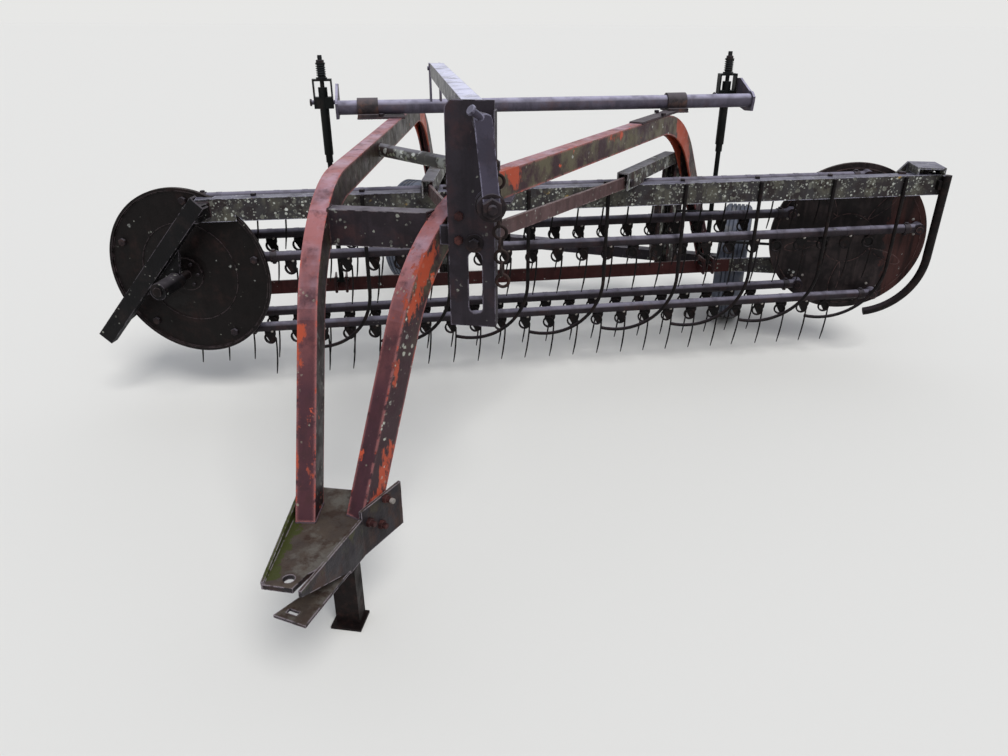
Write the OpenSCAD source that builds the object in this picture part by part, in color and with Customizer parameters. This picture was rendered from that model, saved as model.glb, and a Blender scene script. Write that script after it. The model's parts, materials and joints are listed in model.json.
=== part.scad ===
// Side-delivery hay rake: an oblique reel of parallel tine bars between two spinning heads,
// hung under a two-wheeled arched carriage and raised by a rockshaft with two screw jacks.
// Sizes in mm. Heights are written from the ground and moved down by hitch_h at the end,
// so the origin is the hitch pin hole. +X is to the right seen from the hitch, +Y to the rear.

/* [Hitch] */
// height of the hitch plate's middle over the ground
hitch_h = 430; // [380:5:480]
// radius of the hitch pin hole
hitch_r = 14; // [10:1:18]
// hitch plate thickness
hitch_t = 14; // [10:1:20]

/* [Reel] */
// bar length between the two pin planes
bar_len = 3012; // [2700:1:3200]
// angle of the bars to the heads' planes, degrees
oblique = 17.4; // [15:0.1:21]
// distance from the hitch pin to the front pin plane
fy = 1616; // [1500:1:1700]
// radius of the circle of bar pins
pin_circle = 306; // [290:1:315]
// radius of the two heads
head_r = 357; // [335:1:380]
// head plate thickness
head_t = 6; // [4:1:10]
// height of the heads' axis over the ground
head_z = 590; // [570:1:620]
// outer radius of a tine bar tube
bar_r = 21; // [18:0.5:24]
// tube wall
bar_wall = 4; // [3:0.5:5]
// bar pin radius
pin_r = 10; // [8:0.5:12]
// number of tines on a bar
tines = 24; // [18:1:25]
// length of a tine below the bar's middle
tine_len = 232; // [200:1:236]
// tine wire radius
wire_r = 3.75; // [3:0.25:4]
// radius of the tine's coil
coil_r = 24; // [20:1:28]
// angle of the first bar's pin
phase = 13; // [5:1:20]

/* [Reel frame] */
// top of the front beam over the ground
beam_top = 915; // [900:1:940]
// height of the front beam's face
beam_h = 92; // [80:1:100]
// depth of the front beam's top flange
beam_w = 56; // [50:1:70]
// plate thickness of the beam
beam_t = 8; // [6:1:10]
// perpendicular distance of the beam's face from the reel's middle
beam_v = 128; // [120:1:140]
// number of strippers
strippers = 8; // [6:1:8]
// stripper rod radius
strip_r = 8; // [7:0.5:9]
// height of a cross arch over the front beam
cross_rise = 70; // [60:1:80]
// wall of a cross arch
cross_t = 5; // [4:0.5:7]

/* [Carriage] */
// top face of the arches over the ground
arch_top = 1190; // [1170:1:1220]
// web width of an arch
arch_w = 50; // [44:1:56]
// depth of an arch's side walls
arch_d = 78; // [70:1:84]
// wall of an arch
arch_t = 7; // [5:1:9]
// wheel radius
wheel_r = 315; // [290:5:325]
// tyre width
tyre_w = 150; // [130:5:170]
// half of the distance between the wheels' middles
half_track = 970; // [950:5:1000]
// rockshaft tube radius
shaft_r = 28; // [25:1:31]
// length of the rockshaft's lift arms
arm_len = 150; // [140:1:160]

/* [Hidden] */
$fn = 48;
ca = cos(oblique);
sa = sin(oblique);
gap = 0.06;
fx = -1090;
rx = fx + bar_len*ca;
ry = fy + bar_len*sa;
head_off = 36;
disc_fy = fy - head_off;
disc_ry = ry + head_off;
shaft_hr = 18;
bracket_y = disc_ry + 40;
belt_y = bracket_y + 71;

// plan direction of an angle, and a point's places along and across the reel
function dir(a) = [cos(a), sin(a)];
function across(p) = (p[1] - fy)*ca - (p[0] - fx)*sa;
function along(p) = (p[0] - fx)*ca + (p[1] - fy)*sa;
function plan(u, v) = [fx + u*ca - v*sa, fy + u*sa + v*ca];
function xc(y) = fx + (y - fy)/tan(oblique);
function px(k) = pin_circle*cos(phase + 72*k);
function pz(k) = head_z + pin_circle*sin(phase + 72*k);
// points of an arc in n steps
function arc(c, r, a0, a1, n) = [
  for (i = [0:n]) let(a = a0 + (a1 - a0)*i/n) [c[0] + r*cos(a), c[1] + r*sin(a)]
];

tine_end = 241;
tine_pitch = (bar_len - 367)/23;
tine0 = bar_len - tine_end - (tines - 1)*tine_pitch;
strip_pitch = 3*tine_pitch;
strip_u0 = bar_len - tine_end - 21.5*tine_pitch;

// a round bar between two points
module rod(a, b, r) {
  d = b - a;
  l = norm(d);
  translate(a)
    rotate([0, acos(d[2]/l), atan2(d[1], d[0])])
      cylinder(r = r, h = l);
}
// round bars along X, Y and Z
module xcyl(x0, x1, y, z, r) {
  translate([x0, y, z]) rotate([0, 90, 0]) cylinder(r = r, h = x1 - x0);
}
module ycyl(x, y0, y1, z, r) {
  translate([x, y0, z]) rotate([-90, 0, 0]) cylinder(r = r, h = y1 - y0);
}
module zcyl(x, y, z0, z1, r) {
  translate([x, y, z0]) cylinder(r = r, h = z1 - z0);
}
// a plate standing in the X-Z plane, from y back by t
module upright(y, t) {
  translate([0, y + t, 0]) rotate([90, 0, 0]) linear_extrude(height = t) children();
}
// moves from ground heights to the hitch frame
module low() {
  translate([0, 0, -hitch_h]) children();
}
// the reel's turned frame: x along the bars, y square to them
module reel() {
  low() translate([fx, fy, 0]) rotate([0, 0, oblique]) children();
}
// an arch's frame: x along its plan line, y to its left
module in_arch(foot, ang) {
  low() translate([foot[0], foot[1], 0]) rotate([0, 0, ang]) children();
}

// carriage arches: inverted channels bent in their own upright planes
left_foot = [-48, 253];
right_foot = [92, 288];
left_ang = 96.8;
right_ang = 68.2;
foot_s = -51;
foot_z = hitch_h + hitch_t/2;
lean = 25;
front_r = 500;
rear_r = 580;
fall = 50;
front_s = foot_s + (arch_top - front_r*(1 - sin(lean)) - foot_z)*tan(lean) + front_r*cos(lean);

// axle: its middle in plan and its turn
axle_turn = 10;
axle_mid = [370, ry + 623];
axle_z = wheel_r;
axle_h = 60;
axle_top = axle_z + axle_h/2;
axle_t = tan(axle_turn);
function axle_line(x) = axle_mid[1] - (x - axle_mid[0])*axle_t;
function axle_s(foot, ang) = (axle_line(foot[0]) - foot[1])/(sin(ang) + cos(ang)*axle_t) + 30;
rear_drop = arch_top - rear_r*(1 - cos(fall)) - axle_top;
function run_end(s_end) = s_end - rear_r*sin(fall) - rear_drop/tan(fall);

// side outline of an arch ending at s_end, under the top face set in by g
function arch_line(s_end, g) = let(e = g > 0 ? 200 : 0) concat(
  [[foot_s + g/cos(lean) - e*tan(lean), foot_z - e]],
  arc([front_s, arch_top - front_r], front_r - g, 180 - lean, 90, 20),
  arc([run_end(s_end), arch_top - rear_r], rear_r - g, 90, 90 - fall, 16),
  [[s_end - g/sin(fall) + e/tan(fall), axle_top - e]],
  g > 0 ? [] : [[s_end - 200, axle_top], [foot_s + 200, foot_z]]
);
module arch(foot, ang) {
  s_end = axle_s(foot, ang);
  in_arch(foot, ang) rotate([90, 0, 0]) difference() {
    linear_extrude(height = arch_w, center = true) difference() {
      polygon(arch_line(s_end, 0));
      polygon(arch_line(s_end, arch_d));
    }
    linear_extrude(height = arch_w - 2*arch_t, center = true) polygon(arch_line(s_end, arch_t));
  }
}
module arch_left() { color("salmon") arch(left_foot, left_ang); }
module arch_right() { color("salmon") arch(right_foot, right_ang); }
// the space between the two arches' inner walls
module between_arches() {
  intersection() {
    in_arch(left_foot, left_ang) translate([-500, -4000 - arch_w/2, 0]) cube([5000, 4000, 2000]);
    in_arch(right_foot, right_ang) translate([-500, arch_w/2, 0]) cube([5000, 4000, 2000]);
  }
}
cross_y = 625;
cross_z = arch_top - 156;
module cross_channel() {
  color("dimgray") intersection() {
    low() difference() {
      translate([-400, cross_y, cross_z]) cube([900, 46, 97]);
      translate([-401, cross_y + 8, cross_z + 8]) cube([902, 60, 81]);
    }
    between_arches();
  }
}
module brace_pipe() {
  color("gray") intersection() {
    low() rod([-430, 1587, arch_top - 40], [640, 826, arch_top - 40], 22);
    between_arches();
  }
}

// drawbar: hitch plate between a left gusset and a right angle that runs along the right arch
function wall(s, d) = right_foot + s*dir(right_ang) + (arch_w/2 + d)*dir(right_ang - 90);
jaw_t = 8;
jaw_z = hitch_h - 95;
module drawbar_plate() {
  color("saddlebrown") low() {
    difference() {
      translate([0, 0, hitch_h - hitch_t/2]) linear_extrude(height = hitch_t) polygon([
        [-53, -28], [21, -30], [36, 20], [52, 40], [60.1, 50], [82, 165], wall(-58, 0), wall(54, 0),
        [60, 360], [-60, 360], [-95, 333]
      ]);
      translate([0, 0, hitch_h - hitch_t]) cylinder(r = hitch_r, h = 2*hitch_t);
    }
    translate([-57, -25, hitch_h]) rotate([0, 0, 6.85]) rotate([90, 0, 90]) linear_extrude(height = 8)
      polygon([[0, -hitch_t/2 - 3], [350, -40], [350, 40], [0, 11]]);
  }
}
module drawbar_jaw() {
  color("saddlebrown") low() {
    difference() {
      translate([0, 0, jaw_z]) linear_extrude(height = 112) polygon([
        [42, -45], [82, 165], wall(-58, 0), wall(103, 0), wall(103, jaw_t), wall(-58, jaw_t),
        [90, 164], [50, -46]
      ]);
      translate([20, 0, jaw_z]) rotate([90, 0, 90]) linear_extrude(height = 90)
        polygon([[-60, -1], [150, -1], [150, 7], [-46, 95], [-60, 95]]);
    }
    translate([0, 0, jaw_z + 100]) linear_extrude(height = 36)
      polygon([wall(-58, 0), wall(103, 0), wall(103, jaw_t), wall(-58, jaw_t)]);
    translate([0, 0, jaw_z]) linear_extrude(height = 8) difference() {
      polygon([[-41, -23], [46, -44], [86, 158], [69, 173]]);
      translate([1, -7]) rotate(-14) square([30, 13], center = true);
    }
  }
}
stand_x = -5;
stand_y = 330;
stand_z = hitch_h - 65;
stand_w = 70;
stand_r = 9;
cheek = 8;
stand_gap = 5;
cheek_x = stand_w/2 + stand_gap;
module stand_bracket() {
  color("saddlebrown") low() {
    for (x = [-cheek_x - cheek, cheek_x])
      translate([stand_x + x, stand_y - 28, stand_z - 26])
        cube([cheek, 56, hitch_h - hitch_t/2 - stand_z + 26]);
    xcyl(stand_x - cheek_x - cheek - 6, stand_x + cheek_x + cheek + 6, stand_y, stand_z, stand_r);
  }
}
module parking_stand() {
  color("saddlebrown") low() difference() {
    union() {
      translate([stand_x - stand_w/2, stand_y - 25, 4]) cube([stand_w, 50, stand_z + 18]);
      translate([stand_x - 45, stand_y - 48, 0]) cube([90, 80, 8]);
    }
    translate([stand_x - stand_w/2 + 6, stand_y - 19, 8]) cube([stand_w - 12, 38, stand_z - 40]);
    xcyl(stand_x - 100, stand_x + 100, stand_y, stand_z, stand_r + gap);
  }
}

// axle and wheels
module axle() {
  low() translate([axle_mid[0], axle_mid[1], axle_z]) rotate([0, 0, -axle_turn]) children();
}
beam_half = half_track - 85;
spindle_r = 20;
module axle_beam() {
  color("dimgray") axle() {
    translate([-beam_half, -axle_h/2, -axle_h/2]) cube([2*beam_half, axle_h, axle_h]);
    xcyl(-beam_half - 150, -beam_half + 5, 0, 0, spindle_r);
    xcyl(beam_half - 5, beam_half + 150, 0, 0, spindle_r);
  }
}
rim_r = wheel_r - 95;
module wheel_rim(s) {
  axle() translate([s*half_track, 0, 0]) rotate([0, 90, 0]) difference() {
    union() {
      difference() {
        cylinder(r = rim_r, h = tyre_w - 30, center = true);
        cylinder(r = rim_r - 8, h = tyre_w, center = true);
      }
      cylinder(r = rim_r - 2, h = 8, center = true);
      cylinder(r = 42, h = 120, center = true);
    }
    cylinder(r = spindle_r + 0.05, h = 200, center = true);
  }
}
module tyre(s) {
  h = tyre_w/2;
  axle() translate([s*half_track, 0, 0]) rotate([0, 90, 0]) rotate_extrude() polygon([
    [rim_r, 15 - h], [rim_r + 30, 5 - h], [wheel_r - 45, -h], [wheel_r - 14, 8 - h], [wheel_r, 28 - h],
    [wheel_r, h - 28], [wheel_r - 14, h - 8], [wheel_r - 45, h], [rim_r + 30, h - 5], [rim_r, h - 15]
  ]);
}
module tyre_left() { color("dimgray") tyre(-1); }
module tyre_right() { color("dimgray") tyre(1); }
module rim_left() { color("firebrick") wheel_rim(-1); }
module rim_right() { color("firebrick") wheel_rim(1); }

// crank post: front web with a rounded corner and a slot, flanges to the rear
post_x = 268;
post_y = 566;
post_w = 120;
post_d = 38;
post_t = 6;
post_z = arch_top - 340;
post_top = arch_top + 225;
rock_v = 52;
rock_z = arch_top + shaft_r + 10;
lever_h = 146;
screw_z = rock_z + lever_h;
screw_u = 1060;
screw_r = 11;
// place across the reel where the screw passes a plan line y
function screw_at(y) = (y - fy - screw_u*sa)/ca;
post_v = screw_at(post_y);
module outside_right() {
  in_arch(right_foot, right_ang) translate([-500, -1000 - arch_w/2, 0]) cube([3000, 1000, 2000]);
}
module crank_post() {
  color("dimgray") {
    difference() {
      low() {
        upright(post_y, post_t) {
          translate([post_x, post_z]) square([post_w, post_top - post_z - 24]);
          translate([post_x + 24, post_z]) square([post_w - 24, post_top - post_z]);
          translate([post_x + 24, post_top - 24]) circle(r = 24);
        }
        for (x = [0, post_w - post_t])
          translate([post_x + x, post_y + 1, post_z]) cube([post_t, post_d - 1, post_top - post_z - 24]);
      }
      low() {
        for (z = [53, 184])
          ycyl(post_x + 68, post_y - 5, post_y + 15, post_z + z, 18);
        translate([post_x + 50, post_y - 5, post_z + 53]) cube([36, 20, 131]);
      }
      reel() rod([screw_u, post_v - 60, screw_z], [screw_u, post_v + 60, screw_z], screw_r + 0.02);
    }
    // lug and spacer that stand on the arch's outer wall
    intersection() {
      low() {
        translate([post_x, post_y + post_t, arch_top - 130]) cube([post_t, 108, 75]);
        translate([post_x - 60, post_y + post_d - 12, arch_top - 130]) cube([62, 12, 50]);
      }
      outside_right();
    }
    // hook for the chain
    low() translate([post_x + post_w - 1, post_y + 2, 1254]) cube([12, 14, 22]);
  }
}
// screw channel square to the rockshaft, from the post's top to the lever
channel_end = rock_v - 134;
module screw_channel() {
  color("dimgray") difference() {
    reel() difference() {
      translate([screw_u - 26, post_v - 20, screw_z - 22]) cube([52, channel_end - post_v + 20, 50]);
      translate([screw_u - 20, post_v - 40, screw_z - 40]) cube([40, channel_end - post_v + 60, 62]);
    }
    low() translate([post_x - 50, post_y - 100, screw_z - 60]) cube([post_w + 100, 100 + post_t, 120]);
  }
}
crank_v = post_v - 68;
module crank_screw() {
  color("gray") reel() {
    rod([screw_u, crank_v - 12, screw_z], [screw_u, channel_end + 22, screw_z], screw_r);
    rod([screw_u, crank_v, screw_z], [screw_u, crank_v + 48, screw_z], 18);
    translate([screw_u, crank_v, screw_z]) rotate([0, -4.2, 0]) {
      translate([-15, -12, -182]) cube([30, 12, 182]);
      rod([0, -16, 0], [0, 0, 0], 22);
      rod([0, -52, -182], [0, 0, -182], 33);
    }
  }
}
module safety_chain() {
  color("saddlebrown") low() for (i = [0:9])
    translate([post_x + post_w + 8 + 1.5*i, post_y - 17.5, 1265 - 31*i])
      rotate([0, 0, (1 - i % 2)*90]) rotate([90, 0, 0])
        rotate_extrude() translate([16, 0]) circle(r = 4, $fn = 16);
}

// gearbox on the axle, its sheave, and the belt to the reel
sheave_x = 940;
sheave_z = head_z;
belt_r1 = 72;
belt_r2 = 84;
belt_l = rx - sheave_x;
belt_b = asin((belt_r2 - belt_r1)/belt_l);
sheave_pin = 15;
box_y = axle_line(sheave_x) - 209;
module drive_gearbox() {
  color("dimgray") low() difference() {
    union() {
      translate([sheave_x - 70, box_y, axle_top]) cube([140, 250, sheave_z + 100 - axle_top]);
      ycyl(sheave_x, belt_y + 36, box_y + 5, sheave_z, 32);
    }
    ycyl(sheave_x, belt_y, box_y + 30, sheave_z, sheave_pin + gap);
    for (i = [0:4])
      translate([sheave_x - 80, box_y - 1, axle_top + 40 + 50*i]) cube([24, 16, 22]);
  }
}
module groove(x, r) {
  low() translate([x, belt_y - 16, head_z]) rotate([-90, 0, 0]) difference() {
    cylinder(r = r + 8, h = 32);
    translate([0, 0, 6]) rotate_extrude() translate([r - 8, 0]) square([20, 20]);
  }
}
module drive_sheave() {
  color("black") {
    groove(sheave_x, belt_r1);
    low() ycyl(sheave_x, belt_y + 15, box_y + 20, sheave_z, sheave_pin);
  }
}
module belt_arc(x, z, r, a0, a) {
  translate([x, belt_y, z]) rotate([90, 0, 0]) rotate([0, 0, a0]) rotate_extrude(angle = a)
    translate([r - 5, -8]) square([11, 16]);
}
module drive_belt() {
  color("black") low() {
    belt_arc(sheave_x, sheave_z, belt_r1, 90 + belt_b, 180 - 2*belt_b);
    belt_arc(rx, head_z, belt_r2, -90 - belt_b, 180 + 2*belt_b);
    for (s = [-1, 1])
      translate([sheave_x, belt_y, sheave_z]) rotate([0, -s*belt_b, 0])
        translate([-6, -7.6, s > 0 ? belt_r1 - 4.6 : -belt_r1 - 5.6]) cube([belt_l + 12, 15.2, 10.2]);
  }
}

// rockshaft, its two bearings and the two screw jacks
function cross_s(foot, ang, v) = (v - across(foot))/sin(ang - oblique);
left_s = cross_s(left_foot, left_ang, rock_v);
right_s = cross_s(right_foot, right_ang, rock_v);
bear_u1 = along(left_foot + left_s*dir(left_ang)) - 118;
bear_u2 = along(right_foot + right_s*dir(right_ang));
arm_ang = 2;
arm_v = rock_v + arm_len*cos(arm_ang);
arm_z = rock_z + arm_len*sin(arm_ang);
rock_u0 = bear_u1 - 125;
rock_u1 = bear_u2 + 345;
jack_u1 = rock_u0 - 60;
jack_u2 = rock_u1 - 52;
bear_h = 6;
module bearing_block(u) {
  difference() {
    union() {
      xcyl(u - 42, u + 42, rock_v, rock_z, shaft_r + 9);
      translate([u - 42, rock_v - 30, arch_top + 1]) cube([84, 60, rock_z - arch_top]);
      translate([u - 42, rock_v - 56, arch_top + 1]) cube([84, 112, 14]);
    }
    xcyl(u - 60, u + 60, rock_v, rock_z, shaft_r + gap);
  }
}
module bearing_left() {
  color("dimgray") reel() {
    bearing_block(bear_u1);
    translate([bear_u1 - 42, rock_v - 56, arch_top]) cube([188, 112, bear_h]);
  }
}
module bearing_right() {
  s0 = run_end(axle_s(right_foot, right_ang));
  color("dimgray") {
    reel() bearing_block(bear_u2);
    in_arch(right_foot, right_ang) translate([s0 - 256, -27, arch_top])
      cube([right_s - s0 + 316, 54, bear_h]);
  }
}
module arm_plate(u) {
  xcyl(u, u + 10, rock_v, rock_z, shaft_r + 10);
  translate([u, rock_v, rock_z]) rotate([arm_ang, 0, 0]) rotate([90, 0, 90]) linear_extrude(height = 10)
    polygon([[-34, -40], [30, -48], [arm_len + 28, -30], [arm_len + 28, 70], [arm_len - 30, 78], [-38, 20]]);
}
module rockshaft() {
  color("gray") reel() {
    xcyl(rock_u0, rock_u1, rock_v, rock_z, shaft_r);
    arm_plate(rock_u0 - 4);
    arm_plate(rock_u1 - 6);
    xcyl(jack_u1 - 50, rock_u0, arm_v, arm_z, 9);
    xcyl(jack_u2 - 50, rock_u1, arm_v, arm_z, 9);
    for (s = [-1, 1])
      translate([screw_u + s*20 - 4, rock_v - 20, rock_z + 10]) cube([8, 40, lever_h + 9]);
    xcyl(screw_u - 30, screw_u + 30, rock_v, rock_z + lever_h, 8);
  }
}
rear_v = arm_v + 28;
rear_z = head_z - 178;
jack_pin = 8;
module jack(u) {
  color("darkslategray") reel() difference() {
    union() {
      difference() {
        translate([u - 40, arm_v - 18, arm_z - 24]) cube([80, 36, 117]);
        translate([u - 34, arm_v - 20, arm_z + 22]) cube([68, 40, 63]);
      }
      zcyl(u, arm_v, arm_z - 215, arm_z + 60, 19);
      zcyl(u, arm_v, arm_z - 248, arm_z - 200, 15);
      zcyl(u, arm_v, rear_z + 22, arm_z - 240, 11);
      zcyl(u, arm_v, arm_z + 50, arm_z + 185, 9);
      zcyl(u, arm_v, arm_z + 92, arm_z + 99, 23);
      zcyl(u, arm_v, arm_z + 98, arm_z + 150, 15);
      zcyl(u, arm_v, arm_z + 149, arm_z + 156, 20);
      xcyl(u - 34, u + 34, arm_v, rear_z + 30, jack_pin);
    }
    xcyl(u - 60, u + 60, arm_v, arm_z, 9 + gap);
  }
}
module jack_left() { jack(jack_u1); }
module jack_right() { jack(jack_u2); }

// reel frame: front beam, front arm, rear beam and rear bracket
beam_bot = beam_top - beam_h;
beam_u0 = 78;
beam_u1 = bar_len + 328;
module top_beam() {
  color("gray") difference() {
    reel() {
      translate([beam_u0, -beam_v, beam_bot]) cube([beam_u1 - beam_u0, beam_t, beam_h]);
      translate([beam_u0, -beam_v, beam_top - beam_t]) cube([beam_u1 - beam_u0, beam_w, beam_t]);
    }
    low() ycyl(fx, disc_fy - 18, disc_fy + 60, head_z, head_r + 7);
  }
}
arm_p = [fx + 138, beam_top - 30];
arm_q = [fx - 342, head_z - 245];
arm_y0 = disc_fy - 150;
arm_h = 42;
arm_l = norm(arm_p - arm_q);
module front_head_arm() {
  color("dimgray") difference() {
    low() difference() {
      union() {
        translate([arm_q[0], arm_y0, arm_q[1]])
          rotate([0, -atan2(arm_p[1] - arm_q[1], arm_p[0] - arm_q[0]), 0]) difference() {
            translate([-30, 0, -32]) cube([arm_l + 80, arm_h, 64]);
            translate([-40, 7, -25]) cube([arm_l + 100, arm_h, 50]);
          }
        ycyl(fx, disc_fy - 250, disc_fy - 102, head_z, 34);
        upright(arm_y0 + 32, 10) polygon([
          [fx + 20, head_z - 30], [fx + 24, head_z + 30], [fx + 50, head_z + 210],
          [fx - 40, head_z + 100], [fx - 200, head_z - 90], [fx - 30, head_z - 28]
        ]);
        translate([arm_p[0] - 34, arm_y0 + 3, beam_top - 72]) cube([60, 180, 60]);
      }
      ycyl(fx, disc_fy - 260, disc_fy, head_z, shaft_hr + gap);
    }
    reel() translate([0, -beam_v, 0]) cube([600, 300, 2000]);
  }
}
rear_u0 = -270;
module front_link() {
  q = plan(rear_u0 + 22, rear_v + 20);
  color("dimgray") difference() {
    low() rod([arm_q[0], arm_y0 - 20, arm_q[1] + 2], [q[0], q[1], rear_z], 18);
    low() translate([arm_q[0] - 100, arm_y0 - 100, 0]) cube([200, 107, 1000]);
    reel() translate([rear_u0 - 100, rear_v, 0]) cube([300, 200, 1000]);
  }
}
module rear_beam() {
  color("firebrick") difference() {
    reel() translate([rear_u0, rear_v, rear_z - 32]) cube([bar_len - rear_u0, 10, 64]);
    low() translate([0, bracket_y, 0]) cube([3000, 1000, 1000]);
  }
}
module lug(u) {
  for (s = [-1, 1]) difference() {
    translate([u + s*24 - 4, rear_v - 80, rear_z - 12]) cube([8, 80, 74]);
    translate([u + s*24 - 10, arm_v - 38, rear_z + 19]) cube([20, 50, 22]);
  }
}
module jack_lugs() {
  color("dimgray") reel() {
    lug(jack_u1);
    lug(jack_u2);
  }
}
rail_x = plan((bracket_y - fy - (rear_v + 10)*ca)/sa, rear_v + 10)[0] - 12;
hood_x = rx + 216;
module rear_bracket() {
  color("dimgray") low() difference() {
    union() {
      upright(bracket_y, 12) polygon([
        [rail_x, rear_z - 32], [rail_x, rear_z + 32], [rx - 200, rear_z + 58], [rx - 45, head_z + 40],
        [hood_x, beam_top + 35], [hood_x + 120, beam_top + 35], [hood_x + 120, beam_top - 40],
        [rx + 60, head_z - 25], [rx + 10, head_z - 60], [rx - 250, rear_z - 32]
      ]);
      ycyl(rx, bracket_y - 14, bracket_y + 26, head_z, 40);
      difference() {
        translate([hood_x, ry - 66, beam_top]) cube([120, bracket_y + 2 - ry + 66, 35]);
        translate([hood_x + 8, ry - 80, beam_top - 8]) cube([104, bracket_y - ry + 80, 35]);
      }
    }
    ycyl(rx, bracket_y - 40, bracket_y + 60, head_z, shaft_hr + gap);
  }
}
guard_r = 19;
guard_c = plan(beam_u1 - 2, -beam_v - guard_r - 0.5);
guard_b = 290;
module end_guard() {
  color("gray") {
    low() {
      zcyl(guard_c[0], guard_c[1], head_z - 63, beam_top, guard_r);
      translate([guard_c[0] - guard_b, guard_c[1], head_z - 60]) rotate([90, 0, 0]) rotate([0, 0, -78])
        rotate_extrude(angle = 78) translate([guard_b, 0]) circle(r = guard_r - 0.4);
    }
    reel() translate([beam_u1 - 36, -beam_v - guard_r - 2, beam_top - 65]) cube([36, guard_r + 2, 40]);
  }
}
strip_b = 280;
module stripper(y) {
  x = xc(y) + (beam_v + strip_r)/sa;
  low() {
    rod([x, y, head_z - 93], [x, y, beam_top - 4], strip_r);
    translate([x - strip_b, y, head_z - 90]) rotate([90, 0, 0]) rotate([0, 0, -100])
      rotate_extrude(angle = 100) translate([strip_b, 0]) circle(r = strip_r - 0.4, $fn = 24);
  }
}
module strippers() {
  color("dimgray") for (i = [0:strippers - 1])
    stripper(fy + (strip_u0 + strip_pitch*i)*sa);
}

// cross arches over the reel, parallel to the carriage arches
function beside(foot, ang, d) = foot + d*dir(ang + 90);
cross_r = beside(right_foot, right_ang, arch_w + 10);
cross_l = beside(left_foot, left_ang, -arch_w - 100);
cross_w = 50;
cross_b = 115;
cross_top = beam_top + cross_rise;
cross_low = cross_top - 55;
// where a cross arch's front end starts before the beam's face
nose = 113;
module cross_arch(c, ang, out) {
  s1 = cross_s(c, ang, -beam_v);
  s2 = cross_s(c, ang, rear_v + 10) + out;
  sw = s1 + beam_w/sin(ang - oblique);
  difference() {
    in_arch(c, ang) rotate([90, 0, 0]) difference() {
      linear_extrude(height = cross_w, center = true) polygon(concat(
        [[s1 - nose, beam_top], [s1 - nose, cross_top]],
        arc([s2 - cross_b, cross_top - cross_b], cross_b, 90, 0, 14),
        [[s2, rear_z - 32], [s2 - out - 40, rear_z - 32], [s2 - out - 40, cross_low]],
        [[sw, cross_low], [sw, beam_top]]
      ));
      linear_extrude(height = cross_w - 2*cross_t, center = true) polygon(concat(
        [[s1 - nose - 10, rear_z - 60], [s1 - nose - 10, cross_top - cross_t]],
        arc([s2 - cross_b, cross_top - cross_b], cross_b - cross_t, 90, 0, 14),
        [[s2 - cross_t, rear_z - 60]]
      ));
    }
    reel() translate([0, rear_v - 300, rear_z - 80]) cube([bar_len, 310, cross_low - rear_z + 80]);
  }
}
module cross_arch_left() { color("dimgray") cross_arch(cross_l, left_ang, 75); }
module cross_arch_right() { color("dimgray") cross_arch(cross_r, right_ang, 90); }

// drag links from ears under the right arch to clevis pins in the cross arches' noses
drag_s = 659;
drag_top = arch_top - arch_d;
drag_z = drag_top - 102;
drag_p = right_foot + drag_s*dir(right_ang);
dr_p = [drag_p[0] - 18.8, drag_p[1], drag_z];
dl_p = [drag_p[0] - 92.8, drag_p[1], drag_z];
clevis_z = beam_top + 25;
function clevis(c, ang) = c + (cross_s(c, ang, -beam_v) - 78)*dir(ang);
dr_c = clevis(cross_r, right_ang);
dl_c = clevis(cross_l, left_ang);
dr_q = [dr_c[0], dr_c[1], clevis_z];
dl_q = [dl_c[0], dl_c[1], clevis_z];
drag_r = 10;
module drag(p, q) {
  d = q - p;
  l = norm(d);
  color("sienna") low() translate(p) rotate([0, 0, atan2(d[1], d[0])]) rotate([0, -asin(d[2]/l), 0])
    difference() {
      union() {
        translate([0, -5, -24]) cube([l, 10, 48]);
        ycyl(0, -5, 5, 0, 24);
        ycyl(l, -5, 5, 0, 24);
      }
      ycyl(0, -20, 20, 0, drag_r + gap);
      ycyl(l, -20, 20, 0, drag_r + 6);
    }
}
module drag_link_right() { drag(dr_p, dr_q); }
module drag_link_left() { drag(dl_p, dl_q); }
module drag_ears(p, q) {
  translate(p) rotate([0, 0, atan2(q[1] - p[1], q[0] - p[0])]) {
    for (w = [-19, 11])
      translate([-28, w, -35]) cube([56, 8, drag_top - 4 - drag_z + 35]);
    ycyl(0, -25, 25, 0, drag_r);
  }
}
module drag_posts() {
  color("dimgray") low() {
    translate([drag_p[0] - 137, drag_p[1] - 38, drag_top - 8]) cube([185, 88, 8]);
    drag_ears(dr_p, dr_q);
    drag_ears(dl_p, dl_q);
  }
}
module clevis_pin(q, ang) {
  h = cross_w/2;
  translate(q) rotate([0, 0, ang]) {
    ycyl(0, -h - 8, h + 8, 0, drag_r);
    ycyl(0, -h - 8, -h, 0, drag_r + 6);
    ycyl(0, h, h + 8, 0, drag_r + 6);
  }
}
module drag_lugs() {
  color("dimgray") low() {
    clevis_pin(dr_q, right_ang);
    clevis_pin(dl_q, left_ang);
  }
}

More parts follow.
